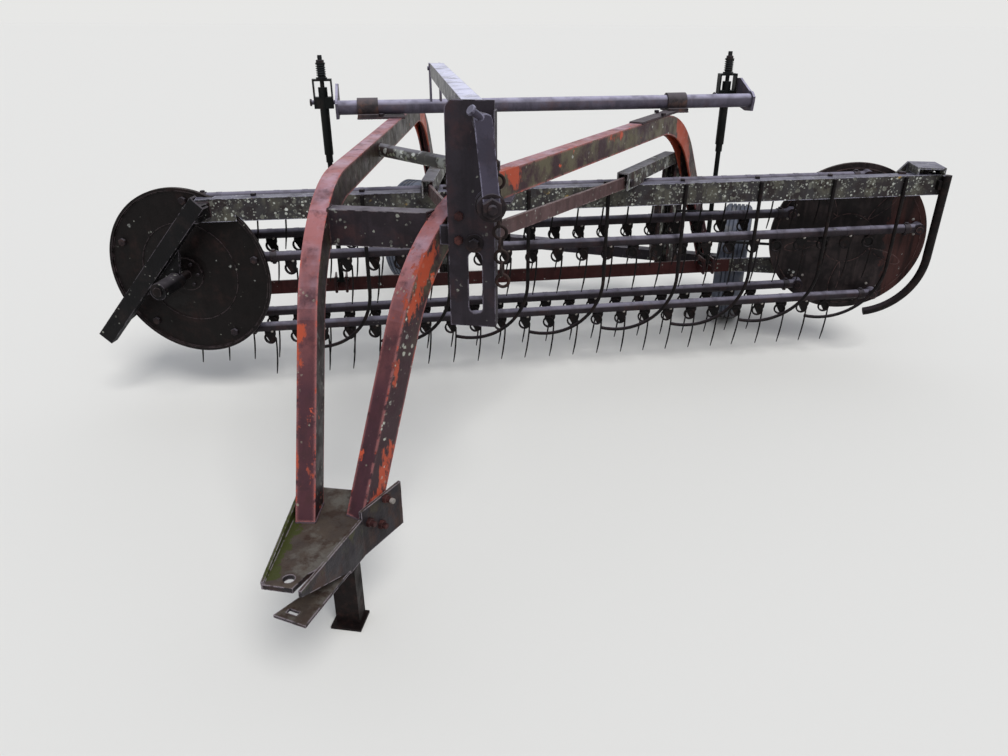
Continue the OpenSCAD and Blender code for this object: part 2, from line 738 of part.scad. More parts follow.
// the two heads with their bar pins
module head_disc(x, y, s) {
  translate([x, y, head_z]) rotate([s*90, 0, 0]) rotate_extrude() polygon([
    [0, -3], [76, -3], [96, 17], [200, -head_t/2], [head_r, -head_t/2], [head_r, 12], [head_r - 12, 12],
    [head_r - 12, head_t/2], [202, head_t/2], [98, 23], [70, 23], [70, 30], [0, 30]
  ]);
}
module front_head() {
  color("sienna") low() {
    head_disc(fx, disc_fy, 1);
    ycyl(fx, disc_fy - 258, disc_fy, head_z, shaft_hr);
    for (k = [0:4]) {
      ycyl(fx + px(k), disc_fy, fy + 36, pz(k), pin_r);
      ycyl(fx + px(k), fy + 31.5, fy + 37, pz(k), pin_r + 5);
    }
  }
}
module rear_head() {
  color("sienna") low() {
    translate([rx, disc_ry, head_z]) rotate([-90, 0, 0]) rotate_extrude() polygon([
      [0, -3], [head_r, -3], [head_r, 12], [head_r - 12, 12], [head_r - 12, 3], [70, 3], [70, 18], [0, 18]
    ]);
    ycyl(rx, disc_ry, belt_y + 20, head_z, shaft_hr);
    for (k = [0:4]) {
      ycyl(rx + px(k), ry - 36, disc_ry, pz(k), pin_r);
      ycyl(rx + px(k), ry - 37, ry - 31.5, pz(k), pin_r + 5);
    }
  }
}
module rear_sheave() {
  color("black") difference() {
    groove(rx, belt_r2);
    low() ycyl(rx, belt_y - 30, belt_y + 60, head_z, shaft_hr);
  }
}

// tine bars and their rows of coil tines
module bar_tube(k) {
  low() translate([px(k), 0, pz(k)]) difference() {
    union() {
      translate([fx, fy, 0]) rotate([0, 90, oblique]) difference() {
        cylinder(r = bar_r, h = bar_len);
        translate([0, 0, 60]) cylinder(r = bar_r - bar_wall, h = bar_len - 120);
      }
      ycyl(fx, fy - 26, fy + 26, 0, bar_r + 4);
      ycyl(rx, ry - 26, ry + 26, 0, bar_r + 4);
    }
    ycyl(fx, fy - 60, fy + 60, 0, pin_r + gap);
    ycyl(rx, ry - 60, ry + 60, 0, pin_r + gap);
  }
}
coil_z = -bar_r - 10 - coil_r;
module tine_row(k) {
  low() for (i = [0:tines - 1]) {
    p = plan(tine0 + i*tine_pitch, 0);
    translate([p[0] + px(k), p[1], pz(k)]) {
      translate([-15, -8, -bar_r - 15]) cube([30, 16, 30]);
      translate([0, 0, coil_z]) rotate([90, 0, 0]) difference() {
        cylinder(r = coil_r + wire_r, h = 8, center = true);
        cylinder(r = coil_r - wire_r, h = 20, center = true);
      }
      rod([coil_r, 0, coil_z], [coil_r - 14, 0, -tine_len], wire_r - 0.3);
    }
  }
}
module bar_1() { color("gray") bar_tube(0); }
module bar_2() { color("gray") bar_tube(1); }
module bar_3() { color("gray") bar_tube(2); }
module bar_4() { color("gray") bar_tube(3); }
module bar_5() { color("gray") bar_tube(4); }
module tines_1() { color("black") tine_row(0); }
module tines_2() { color("black") tine_row(1); }
module tines_3() { color("black") tine_row(2); }
module tines_4() { color("black") tine_row(3); }
module tines_5() { color("black") tine_row(4); }

drawbar_plate();
drawbar_jaw();
stand_bracket();
arch_left();
arch_right();
cross_channel();
brace_pipe();
axle_beam();
bearing_left();
bearing_right();
crank_post();
screw_channel();
crank_screw();
safety_chain();
drive_gearbox();
drive_sheave();
drive_belt();
rockshaft();
jack_left();
jack_right();
parking_stand();
tyre_left();
tyre_right();
rim_left();
rim_right();
top_beam();
front_head_arm();
front_link();
rear_beam();
jack_lugs();
rear_bracket();
end_guard();
strippers();
cross_arch_left();
cross_arch_right();
drag_link_right();
drag_link_left();
drag_posts();
drag_lugs();
front_head();
rear_head();
rear_sheave();
bar_1();
bar_2();
bar_3();
bar_4();
bar_5();
tines_1();
tines_2();
tines_3();
tines_4();
tines_5();
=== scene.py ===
"""Looks of a towed rotary hay rake: weathered paint, rust, lichen, tines and small fasteners."""

import json
import math
import random

import bmesh
import bpy
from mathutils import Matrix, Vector


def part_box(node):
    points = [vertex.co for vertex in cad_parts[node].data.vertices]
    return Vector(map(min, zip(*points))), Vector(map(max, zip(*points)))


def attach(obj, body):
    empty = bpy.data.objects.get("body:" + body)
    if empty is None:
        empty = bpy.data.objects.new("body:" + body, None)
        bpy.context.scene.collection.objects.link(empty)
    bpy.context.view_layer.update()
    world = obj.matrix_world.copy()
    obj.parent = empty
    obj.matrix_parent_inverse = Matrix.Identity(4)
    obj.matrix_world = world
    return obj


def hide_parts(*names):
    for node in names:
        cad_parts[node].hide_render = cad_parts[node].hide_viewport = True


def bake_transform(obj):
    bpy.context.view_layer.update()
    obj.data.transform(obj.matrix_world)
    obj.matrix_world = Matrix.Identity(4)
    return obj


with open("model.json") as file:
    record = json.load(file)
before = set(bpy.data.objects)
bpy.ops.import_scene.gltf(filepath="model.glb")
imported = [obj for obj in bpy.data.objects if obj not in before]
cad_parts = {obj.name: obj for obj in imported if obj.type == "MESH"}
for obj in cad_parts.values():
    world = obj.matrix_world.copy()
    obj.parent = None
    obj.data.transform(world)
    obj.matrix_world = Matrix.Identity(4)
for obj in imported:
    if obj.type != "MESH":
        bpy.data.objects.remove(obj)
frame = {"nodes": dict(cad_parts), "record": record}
NODES = frame["nodes"]
JOINTS = {joint["name"]: joint for joint in frame["record"]["behaviour"]["joints"]}
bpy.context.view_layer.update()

# The hitch pin hole is the origin, and the ground lies this far below it.
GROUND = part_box("tyre_left")[0].z

# Camera of the photograph, in metres and degrees of the part's frame
CAMERA_AT = (0.692, -1.253, 1.19)
CAMERA_TURN = 8.8
CAMERA_DOWN = 26.5
CAMERA_LENS = 27.04

# Places that the record gives: the reel's line, the bars' pins and the heads
UP = Vector((0, 0, 1))
REEL_X = Vector(JOINTS["rockshaft_turn"]["axis"]).normalized()
REEL_Y = UP.cross(REEL_X)
FRONT_HEAD = Vector(JOINTS["reel_spin"]["pos_m"])
REAR_HEAD = Vector(JOINTS["rear_head_spin"]["pos_m"])
BAR_PINS = [Vector(JOINTS[f"bar_{k}_pivot"]["pos_m"]) for k in range(1, 6)]
HEAD_OFF = BAR_PINS[0].y - FRONT_HEAD.y
BAR_LEN = (REAR_HEAD.y - FRONT_HEAD.y - 2 * HEAD_OFF) / REEL_X.y
REEL_AT = Vector((FRONT_HEAD.x, BAR_PINS[0].y, 0))

# Tubes, rows of tines and strippers, as the part has them
BAR_R = 0.021
TINES = 24
TINE_END = 0.241
TINES_FREE = 0.367
TINE_PITCH = (BAR_LEN - TINES_FREE) / (TINES - 1)
TINE_START = BAR_LEN - TINE_END - (TINES - 1) * TINE_PITCH
TINE_DEPTH = 0.232
COIL_R = 0.024
WIRE_R = 0.00375
STRIPPERS = 8
STRIPPER_R = 0.008
STRIPPER_PITCH = 3 * TINE_PITCH
STRIPPER_START = BAR_LEN - TINE_END - 21.5 * TINE_PITCH

# One tine: its coil, the drop of the coil under the tube, the leg and the clamp's wedge
COIL_TURNS = 1.75
COIL_PITCH = 0.0072
CLAMP_DROP = 0.010
TINE_LEAN = (-0.006, 0.004)
LEG_OUT = 0.010
LEG_BOW = 0.004
WEDGE_OUT = 0.004
WEDGE_THICK = 0.006
WEDGE = ((-0.024, 0.006), (0.026, 0.006), (0.026, -0.016), (0.010, -0.058), (0, -0.060), (-0.024, -0.020))
BAND_HALF = 0.011
BAR_CLAMP_IN = 0.062

# Tyre: its wall from the rim out and from the tread in, the ribs, then wheel nuts, hub cap and valve
TYRE_HALF = 0.0745
TYRE_WALL = 0.095
BEAD_SIDE = ((0, 0.015), (0.012, 0.008), (0.03, 0.004), (0.036, 0.001))
SHOULDER = ((0.05, 0), (0.03, 0.002), (0.014, 0.008), (0.004, 0.018))
TREAD_RIBS = 5
TREAD_EDGE = 0.022
GROOVE_WIDTH = 0.0065
GROOVE_DEPTH = 0.009
WHEEL_NUTS = 5
NUT_CIRCLE = 0.075
HUB_CAP_R = 0.028
VALVE_R = 0.0045
VALVE_FOOT = (0.232, 0.03)
VALVE_END = (0.222, 0.062)

# Spring and thread on a jack, over its pin
SPRING_R = 0.0172
SPRING_WIRE = 0.0028
SPRING_LOW = 0.103
SPRING_LENGTH = 0.043
SPRING_TURNS = 5
SPRING_STEPS = 14
THREADS = 7
THREAD_R = 0.0088
THREAD_LOW = 0.159
THREAD_PITCH = 0.0036
ARM_PIN_OUT = 0.050

# The beam across the reel, and places along it of the bolts at its ends
BEAM_FACE = -0.128
BEAM_BACK = -0.072
BEAM_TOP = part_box("top_beam")[1].z
BEAM_END_BOLTS = (0.30, 3.16, 3.27)

# Bolts that the photograph shows, in the part's frame, and the turn of the jaw's wall in degrees
POST_BOLTS = ((0.2976, 0.7122), (0.2959, 0.6512))
POST_WASHER = (0.3354, 0.6445)
JAW_BOLTS = ((0.1105, 0.2453, -0.0044), (0.1269, 0.2865, -0.0399), (0.1359, 0.3090, 0.0280))
JAW_WALL_TURN = 68.2
BEARING_BOLT_OUT = 0.043

# Heads: rivets as angle from a pin and radius, bolts round the hub, pressed ribs and beads
RIVETS = ((0.12, 0.300), (-0.12, 0.300), (0.0, 0.262))
HUB_BOLTS = 6
HUB_CIRCLE = 0.050
RIB_MIDDLE = 0.205
RIB_REACH = 0.085
RIB_WIDTH = 0.030
REAR_BEADS = (0.118, 0.331)
FRONT_BEADS = (0.212, 0.343)

# Crank: its screw's place along the reel, and the arm from its boss to its top
CRANK_U = 1.060
CRANK_LEAN = 0.0133
CRANK_BACK = 0.036
CRANK_REACH = 0.1815
BOSS_R = 0.033
ARM_FOOT_HALF = 0.020

# Belt: the radius on each sheave, the driving one first, and its section as rise and place along Y
BELT_R = (0.072, 0.084)
BELT_STEPS = 24
BELT_BACK = ((0.0045, 0.0078), (0.0056, 0.0070), (0.0056, -0.0070), (0.0045, -0.0078))
BELT_PROFILE = ((-0.0050, -0.0052), (-0.0050, 0.0052), *BELT_BACK)

# Gearbox: its front face, the middle of its bearing cap, and the circle of the cap's bolts
GEARBOX_FRONT = 2.83
GEARBOX_CAP = (2.955, 0.06)
CAP_CIRCLE = 0.037

# Welds: the hitch plate's top, the arches' feet and the length of a ripple
PLATE_TOP = 0.007
FEET_BEFORE = 0.42
WELD_RIPPLE = 0.006

# Ways that welded faces look
TO_RIGHT = (0.93, -0.37, 0)
TO_LEFT = (-0.99, -0.12, 0)
REEL_FRONT = (0.299, -0.954, 0)
REEL_BACK = (-0.299, 0.954, 0)

# Faces whose edges are welded: node, the way the face looks, and the body that carries it
SEAMS = (
    ("cross_channel", TO_RIGHT, "carriage"),
    ("cross_channel", TO_LEFT, "carriage"),
    ("brace_pipe", TO_LEFT, "carriage"),
    ("brace_pipe", TO_RIGHT, "carriage"),
    ("screw_channel", (0, -1, 0), "carriage"),
    ("drag_posts", (-0.93, 0.37, 0), "carriage"),
    ("bearing_left", (0, 0, -1), "carriage"),
    ("bearing_right", (0, 0, -1), "carriage"),
    ("cross_arch_left", REEL_FRONT, "reel_frame"),
    ("cross_arch_right", REEL_FRONT, "reel_frame"),
    ("cross_arch_left", REEL_BACK, "reel_frame"),
    ("cross_arch_right", REEL_BACK, "reel_frame"),
    ("front_head_arm", REEL_BACK, "reel_frame"),
    ("jack_lugs", REEL_FRONT, "reel_frame"),
)

# The looks' specular level, the strengths of sky and sun, and the sun's spread in degrees
SPECULAR = 0.13
SKY_STRENGTH = 0.62
SUN_ENERGY = 2.1
SUN_SPREAD = 25

random.seed(7)


def reel(u, v, z):
    """A point along the reel, across it and at a height of the part's frame."""
    return REEL_AT + u * REEL_X + v * REEL_Y + z * UP


def spoke(t, reach=1.0, along=0.0):
    """A vector from an axle along Y: its angle, its length and its place along the axle."""
    return Vector((reach * math.cos(t), along, reach * math.sin(t)))


def square_to(axis):
    """An axis as a unit vector, and two unit vectors square to it and to each other."""
    axis = Vector(axis).normalized()
    across = axis.orthogonal().normalized()
    return axis, across, axis.cross(across)


def circle(across, third, count, shift=0.0):
    """Unit vectors evenly round a circle, from across toward third."""
    turns = [2 * math.pi * (k + shift) / count for k in range(count)]
    return [math.cos(t) * across + math.sin(t) * third for t in turns]


def srgb(r, g, b):
    """A colour as it is seen, from 0 to 255, as linear values for a shader."""

    def linear(v):
        v = v / 255
        return v / 12.92 if v <= 0.04045 else ((v + 0.055) / 1.055) ** 2.4

    return (linear(r), linear(g), linear(b), 1.0)


class Paint:
    """Builds one procedural material, layer over layer, from masks of the object's own coordinates."""

    def __init__(self, name, base, rough):
        self.material = bpy.data.materials.new(name)
        self.material.use_nodes = True
        self.nodes = self.material.node_tree.nodes
        self.links = self.material.node_tree.links
        self.shader = self.nodes["Principled BSDF"]
        self.shader.inputs["Roughness"].default_value = rough
        self.shader.inputs["Specular IOR Level"].default_value = SPECULAR
        self.place = self.nodes.new("ShaderNodeTexCoord")
        self.colour = None
        self.base = base
        self.shade()

    def noise(self, scale, detail=5.0, stretch=(1, 1, 1), offset=0.0, rough=0.6):
        """A noise value over the object, which may be stretched along an axis."""
        mapping = self.nodes.new("ShaderNodeMapping")
        mapping.inputs["Scale"].default_value = stretch
        mapping.inputs["Location"].default_value = (offset, offset * 0.7, -offset)
        self.links.new(self.place.outputs["Object"], mapping.inputs["Vector"])
        noise = self.nodes.new("ShaderNodeTexNoise")
        noise.inputs["Scale"].default_value = scale
        noise.inputs["Detail"].default_value = detail
        noise.inputs["Roughness"].default_value = rough
        self.links.new(mapping.outputs["Vector"], noise.inputs["Vector"])
        return noise.outputs["Fac"]

    def ramp(self, value, low, high, out_low=0.0, out_high=1.0):
        """The value mapped from low..high to out_low..out_high, clamped."""
        node = self.nodes.new("ShaderNodeMapRange")
        node.inputs["From Min"].default_value = low
        node.inputs["From Max"].default_value = high
        node.inputs["To Min"].default_value = out_low
        node.inputs["To Max"].default_value = out_high
        self.links.new(value, node.inputs["Value"])
        return node.outputs["Result"]

    def math(self, kind, a, b):
        """One step of arithmetic on two values."""
        node = self.nodes.new("ShaderNodeMath")
        node.operation = kind
        for socket, value in zip(node.inputs, (a, b)):
            if isinstance(value, float):
                socket.default_value = value
            else:
                self.links.new(value, socket)
        return node.outputs[0]

    def mix(self, mask, colour):
        """Lays a colour over what is there, where the mask is high."""
        node = self.nodes.new("ShaderNodeMix")
        node.data_type = "RGBA"
        self.links.new(mask, node.inputs["Factor"])
        if self.colour is None:
            node.inputs["A"].default_value = self.base
        else:
            self.links.new(self.colour, node.inputs["A"])
        node.inputs["B"].default_value = colour
        self.colour = node.outputs["Result"]

    def shade(self):
        """Slow light and dark changes of the base colour."""
        dark = tuple(v * 0.72 for v in self.base[:3]) + (1.0,)
        self.mix(self.ramp(self.noise(9.0, 6.0), 0.35, 0.68), dark)

    def patches(self, colour, scale=7.0, cover=0.55, soft=0.03, offset=3.1, within=None, most=1.0):
        """Ragged patches: cover is the noise level above which the colour shows."""
        noise = self.noise(scale, 9.0, offset=offset, rough=0.65)
        mask = self.ramp(noise, cover - soft, cover + soft, 0.0, most)
        if within is not None:
            mask = self.math("MULTIPLY", mask, within)
        self.mix(mask, colour)

    def runs(self, colour, scale=30.0, cover=0.56, soft=0.08, offset=1.7, most=0.8):
        """Streaks that run down."""
        noise = self.noise(scale, 5.0, stretch=(1, 1, 0.08), offset=offset)
        self.mix(self.ramp(noise, cover - soft, cover + soft, 0.0, most), colour)

    def spots(self, colour, scale=45.0, size=0.28, cover=0.55, offset=5.3, within=None, most=1.0):
        """Round growths of lichen of many sizes, in clusters, with broken edges."""
        mapping = self.nodes.new("ShaderNodeMapping")
        mapping.inputs["Location"].default_value = (offset, 0, offset)
        self.links.new(self.place.outputs["Object"], mapping.inputs["Vector"])
        cells = self.nodes.new("ShaderNodeTexVoronoi")
        cells.inputs["Scale"].default_value = scale
        self.links.new(mapping.outputs["Vector"], cells.inputs["Vector"])
        reach = self.ramp(self.part(cells.outputs["Color"], 0), 0.45, 1.0, -0.25, size)
        wobble = self.ramp(self.noise(scale * 3, 5.0, rough=0.75), 0.3, 0.7, -0.14, 0.14)
        ahead = self.math("SUBTRACT", reach, self.math("ADD", cells.outputs["Distance"], wobble))
        round_mask = self.ramp(ahead, -0.03, 0.05, 0.0, most)
        cluster = self.ramp(self.noise(scale * 0.2, 4.0, offset=offset), cover - 0.03, cover + 0.05)
        mask = self.math("MULTIPLY", round_mask, cluster)
        if within is not None:
            mask = self.math("MULTIPLY", mask, within)
        self.mix(mask, colour)

    def streak(self, colour, a, b, radius, ragged=0.03, most=1.0):
        """A ragged patch along the line from a to b, both in metres of the part's frame."""
        a, b = Vector(a), Vector(b)
        line = b - a
        off = self.vector("SUBTRACT", self.place.outputs["Object"], a)
        along = self.vector("DOT_PRODUCT", off, line, "Value")
        share = self.ramp(along, 0.0, line.length_squared)
        foot = self.nodes.new("ShaderNodeVectorMath")
        foot.operation = "SCALE"
        foot.inputs[0].default_value = line
        self.links.new(share, foot.inputs["Scale"])
        far = self.vector("DISTANCE", off, foot.outputs[0], "Value")
        noise = self.noise(26.0, 8.0, (1, 1, 0.45), 2.2, 0.7)
        far = self.math("ADD", far, self.ramp(noise, 0.3, 0.7, -ragged, ragged))
        self.mix(self.ramp(far, radius + 0.002, radius - 0.002, 0.0, most), colour)

    def vector(self, kind, a, b, out=0):
        """One step of arithmetic on two vectors."""
        node = self.nodes.new("ShaderNodeVectorMath")
        node.operation = kind
        for socket, value in zip(node.inputs, (a, b)):
            if isinstance(value, Vector):
                socket.default_value = value
            else:
                self.links.new(value, socket)
        return node.outputs[out]

    def part(self, value, axis):
        """One coordinate of a vector, or one channel of a colour."""
        parts = self.nodes.new("ShaderNodeSeparateXYZ")
        self.links.new(value, parts.inputs["Vector"])
        return parts.outputs[axis]

    def facing(self, axis, low=0.6, high=0.85):
        """A mask of the faces that look along an axis: 0, 1 or 2, or -1 to -3 the other way."""
        value = self.part(self.place.outputs["Normal"], axis if axis >= 0 else -axis - 1)
        if axis < 0:
            value = self.math("MULTIPLY", value, -1.0)
        return self.ramp(value, low, high)

    def height(self, low, high):
        """A mask that rises with the height over the ground."""
        return self.ramp(self.part(self.place.outputs["Object"], 2), GROUND + low, GROUND + high)

    def worn_and_highlit_edges(self, colour, radius=0.008, cover=0.46, offset=8.8, most=1.0):
        """Colour along the sharp edges: worn paint, and where it is lighter than the paint, partly a
        painted highlight.
        """
        bevel = self.nodes.new("ShaderNodeBevel")
        bevel.samples = 6
        bevel.inputs["Radius"].default_value = radius
        flat = self.nodes.new("ShaderNodeNewGeometry")
        dot = self.vector("DOT_PRODUCT", bevel.outputs["Normal"], flat.outputs["Normal"], "Value")
        edge = self.ramp(dot, 0.998, 0.93)
        broken = self.ramp(self.noise(38.0, 6.0, offset=offset), cover - 0.04, cover + 0.05, 0.0, most)
        self.mix(self.math("MULTIPLY", edge, broken), colour)

    def finish(self, bump, scale, rough_low, rough_high):
        """Connects the colour and adds fine relief and uneven gloss."""
        self.links.new(self.colour, self.shader.inputs["Base Color"])
        relief = self.nodes.new("ShaderNodeBump")
        relief.inputs["Strength"].default_value = bump
        relief.inputs["Distance"].default_value = 0.002
        self.links.new(self.noise(scale, 6.0), relief.inputs["Height"])
        self.links.new(relief.outputs["Normal"], self.shader.inputs["Normal"])
        gloss = self.ramp(self.noise(22.0, 5.0, offset=6.6), 0.35, 0.65, rough_low, rough_high)
        self.links.new(gloss, self.shader.inputs["Roughness"])
        return self.material


# Pale lichen, ochre lichen, and the orange-red paint that the arches keep
LICHEN = srgb(186, 188, 182)
OCHRE = srgb(150, 122, 62)
ORANGE = srgb(158, 70, 49)

# Where the arches keep that paint: from, to and radius
LEFT_PATCHES = (
    ((-0.090, 0.405, 0.449), (-0.088, 0.375, 0.385), 0.008),
    ((-0.090, 0.350, 0.330), (-0.082, 0.246, 0.106), 0.000),
    ((-0.047, 0.320, 0.250), (-0.042, 0.260, 0.120), -0.008),
    ((-0.300, 2.500, 0.700), (-0.320, 2.690, 0.400), 0.075),
)
RIGHT_PATCHES = (
    ((0.224, 0.548, 0.606), (0.186, 0.454, 0.480), 0.020),
    ((0.146, 0.353, 0.155), (0.124, 0.278, 0.030), 0.016),
    ((0.170, 0.412, 0.380), (0.160, 0.390, 0.330), -0.004),
    ((0.360, 0.890, 0.775), (0.384, 0.950, 0.740), 0.024),
    ((0.640, 1.590, 0.745), (0.680, 1.700, 0.745), -0.006),
    ((0.930, 2.330, 0.700), (0.985, 2.470, 0.380), 0.070),
)


def arch_paint(name, offset, wall, growth, patches):
    """Faded mauve primer with a painted highlight on its tops, side walls darkened with painted shade and
    grown over, and orange-red paint left in patches.
    """
    p = Paint(name, srgb(108, 64, 64), 0.5)
    upper = p.height(0.74, 1.05)
    lower = p.ramp(upper, 0.0, 1.0, 1.0, 0.0)
    p.mix(lower, srgb(62, 38, 46))
    p.patches(srgb(64, 38, 44), 5.0, 0.54, 0.10, 2.2 + offset, most=0.9)
    p.runs(srgb(52, 34, 38), 34.0, 0.57, most=0.7)
    # Top faces lightened in patches toward pale mauve: painted highlight
    top = p.facing(2, 0.42, 0.88)
    p.mix(p.math("MULTIPLY", top, p.ramp(p.noise(7.0), 0.3, 0.5)), srgb(176, 146, 158))
    raised = p.math("MULTIPLY", upper, p.facing(2, 0.05, 0.3))
    p.patches(srgb(156, 96, 93), 8.0, 0.50, 0.10, 15.3 + offset, within=raised, most=0.8)
    front = p.math("MULTIPLY", p.facing(-2, 0.3, 0.7), p.ramp(upper, 0.0, 1.0, 0.1, 0.5))
    p.patches(srgb(128, 72, 68), 4.0, 0.52, 0.12, 41.3 + offset, within=front)
    # Faces looking +X take the wall colour: painted shade on the channel's side wall, which growths and
    # lichen also cover
    side = p.facing(0, 0.45, 0.7)
    p.mix(side, wall)
    p.patches(srgb(86, 80, 64), 9.0, 0.5, 0.07, 4.4, within=p.math("MULTIPLY", side, upper), most=growth)
    # Faces looking -X darkened in patches: painted shade
    p.mix(p.math("MULTIPLY", p.facing(-1, 0.6, 0.8), p.ramp(p.noise(5.0), 0.35, 0.6)), srgb(44, 32, 34))
    p.patches(srgb(58, 38, 44), 20.0, 0.59, 0.07, 12.1, most=0.7)
    # Lighter mauve edges: worn paint, partly painted highlight; the orange edges below are paint worn
    # through
    p.worn_and_highlit_edges(srgb(156, 100, 98), 0.012, 0.42, most=0.75)
    p.worn_and_highlit_edges(srgb(186, 78, 52), 0.008, 0.6, 2.4, 0.9)
    for start, end, radius in patches:
        p.streak(srgb(136, 66, 52), start, end, radius + 0.006, 0.034, 0.8)
        p.streak(ORANGE, start, end, radius)
    p.patches(srgb(184, 80, 54), 16.0, 0.665, 0.012, 9.3 + offset, most=0.9)
    p.spots(LICHEN, 44.0, 0.36, 0.57, 3.7 + offset, within=side, most=growth)
    low_side = p.math("MULTIPLY", side, lower)
    p.spots(srgb(168, 170, 158), 80.0, 0.55, 0.50, 8.1 + offset, within=low_side, most=growth)
    p.spots(srgb(140, 134, 120), 110.0, 0.45, 0.58, 7.7, most=0.7)
    return p.finish(0.3, 120.0, 0.34, 0.58)


def beam_paint():
    """Charcoal face with lichen, and a pale lavender painted highlight on the top flange."""
    p = Paint("frame_steel", srgb(55, 53, 54), 0.5)
    p.patches(srgb(74, 72, 64), 8.0, 0.53, 0.06, 1.3)
    p.patches(srgb(40, 34, 34), 15.0, 0.56, 0.04, 11.3)
    p.runs(srgb(44, 40, 42), 26.0, 0.56)
    p.spots(srgb(100, 100, 92), 55.0, 0.62, 0.42, 6.1, most=0.8)
    p.spots(LICHEN, 38.0, 0.32, 0.54, 3.3)
    p.spots(srgb(158, 160, 152), 75.0, 0.46, 0.46, 13.3)
    p.spots(srgb(132, 134, 126), 120.0, 0.55, 0.43, 16.1)
    p.spots(OCHRE, 22.0, 0.42, 0.58, 1.9)
    # The top flange lightened to lavender: painted highlight, with darker patches and lichen over it
    top = p.facing(2)
    p.mix(top, srgb(112, 110, 124))
    p.patches(srgb(84, 82, 94), 12.0, 0.54, 0.06, 8.1, within=top)
    p.spots(srgb(176, 176, 180), 70.0, 0.4, 0.52, 26.1, within=top)
    # Lighter lavender edges: worn paint, partly painted highlight
    p.worn_and_highlit_edges(srgb(150, 148, 162), 0.005, 0.44)
    return p.finish(0.35, 150.0, 0.3, 0.55)


def dark_paint(name, base, rust, pale, lichen=None, edge=None, rough=(0.36, 0.6)):
    """Old dark machine paint with some rust and growth, a painted highlight on its top faces and, where
    given, worn edges.
    """
    p = Paint(name, base, 0.55)
    p.patches(rust, 9.0, 0.57, 0.07, 2.9, most=0.7)
    p.patches(tuple(v * 0.6 for v in base[:3]) + (1.0,), 18.0, 0.54, 0.06, 13.9, most=0.8)
    p.runs(tuple(v * 0.55 for v in base[:3]) + (1.0,), 30.0, 0.57)
    # Top faces lightened in patches: painted highlight
    p.mix(p.math("MULTIPLY", p.facing(2, 0.35, 0.9), p.ramp(p.noise(14.0), 0.28, 0.55, 0.25, 1.0)), pale)
    if lichen is not None:
        p.spots(LICHEN, 40.0, 0.4, lichen, 4.9)
        p.spots(srgb(128, 128, 120), 90.0, 0.46, lichen - 0.03, 14.9)
    if edge is not None:
        # Lighter edges: worn paint, partly painted highlight
        p.worn_and_highlit_edges(edge, 0.005, 0.47, most=0.85)
    return p.finish(0.35, 150.0, rough[0], rough[1])


def rear_head_paint():
    """Dark steel that turns reddish brown toward its outer side, under dust and small growths."""
    p = Paint("rear_head_steel", srgb(30, 25, 26), 0.5)
    p.patches(srgb(48, 40, 40), 9.0, 0.53, 0.07, 2.9)
    brown_top = REAR_HEAD + Vector((0.26, 0, 0.16))
    brown_low = REAR_HEAD + Vector((0.27, 0, -0.20))
    p.streak(srgb(64, 38, 35), brown_top, brown_low, 0.085, 0.05, 0.85)
    p.runs(srgb(18, 14, 15), 30.0, 0.56)
    p.spots(LICHEN, 45.0, 0.36, 0.64, 4.9)
    p.worn_and_highlit_edges(srgb(86, 66, 64), 0.005, 0.47)
    return p.finish(0.35, 150.0, 0.36, 0.6)


def drawbar_paint():
    """Slate-dark hitch steel, brown on top, with moss along the left gusset."""
    p = Paint("drawbar_steel", srgb(42, 38, 42), 0.5)
    p.patches(srgb(60, 42, 36), 9.0, 0.56, 0.06, 2.9, most=0.8)
    p.runs(srgb(26, 22, 24), 28.0, 0.57)
    top = p.facing(2, 0.5, 0.9)
    p.mix(p.math("MULTIPLY", top, p.ramp(p.noise(9.0), 0.3, 0.6, 0.3, 1.0)), srgb(76, 66, 58))
    p.patches(srgb(96, 92, 86), 14.0, 0.56, 0.06, 7.9, within=top, most=0.8)
    p.patches(srgb(52, 38, 32), 20.0, 0.56, 0.05, 17.9, within=top, most=0.8)
    moss = p.math("MULTIPLY", p.facing(0, 0.9, 0.98), p.height(0.40, 0.44))
    p.streak(srgb(56, 62, 24), (-0.060, 0.010, 0.010), (-0.090, 0.280, 0.030), 0.030, 0.03, 0.85)
    p.mix(p.math("MULTIPLY", moss, p.ramp(p.noise(18.0), 0.55, 0.65)), srgb(60, 60, 40))
    # Lighter edges: worn paint, partly painted highlight
    p.worn_and_highlit_edges(srgb(138, 128, 134), 0.005, 0.46, most=0.85)
    return p.finish(0.4, 150.0, 0.34, 0.6)


def rusty(name, base, bright, pale=None):
    """Bare steel gone brown, with fine brighter rust and, where given, a painted highlight on the top
    faces.
    """
    p = Paint(name, base, 0.6)
    p.patches(bright, 24.0, 0.56, 0.07, 1.1, most=0.7)
    p.patches(tuple(v * 0.55 for v in base[:3]) + (1.0,), 40.0, 0.54, 0.05, 7.2)
    if pale is not None:
        # Top faces lightened: painted highlight
        p.mix(p.ramp(p.facing(2, 0.3, 0.95), 0.0, 1.0, 0.0, 0.75), pale)
    return p.finish(0.5, 220.0, 0.45, 0.72)


def tyre_rubber():
    """Dusty slate-blue tread and greyer walls."""
    p = Paint("tyre", srgb(92, 96, 108), 0.8)
    p.patches(srgb(60, 63, 72), 9.0, 0.54, 0.08, 2.0, most=0.7)
    p.patches(srgb(112, 110, 108), 15.0, 0.58, 0.08, 5.0, most=0.7)
    p.mix(p.ramp(p.height(0.0, 0.12), 0.0, 1.0, 0.6, 0.0), srgb(98, 88, 74))
    return p.finish(0.3, 160.0, 0.7, 0.9)


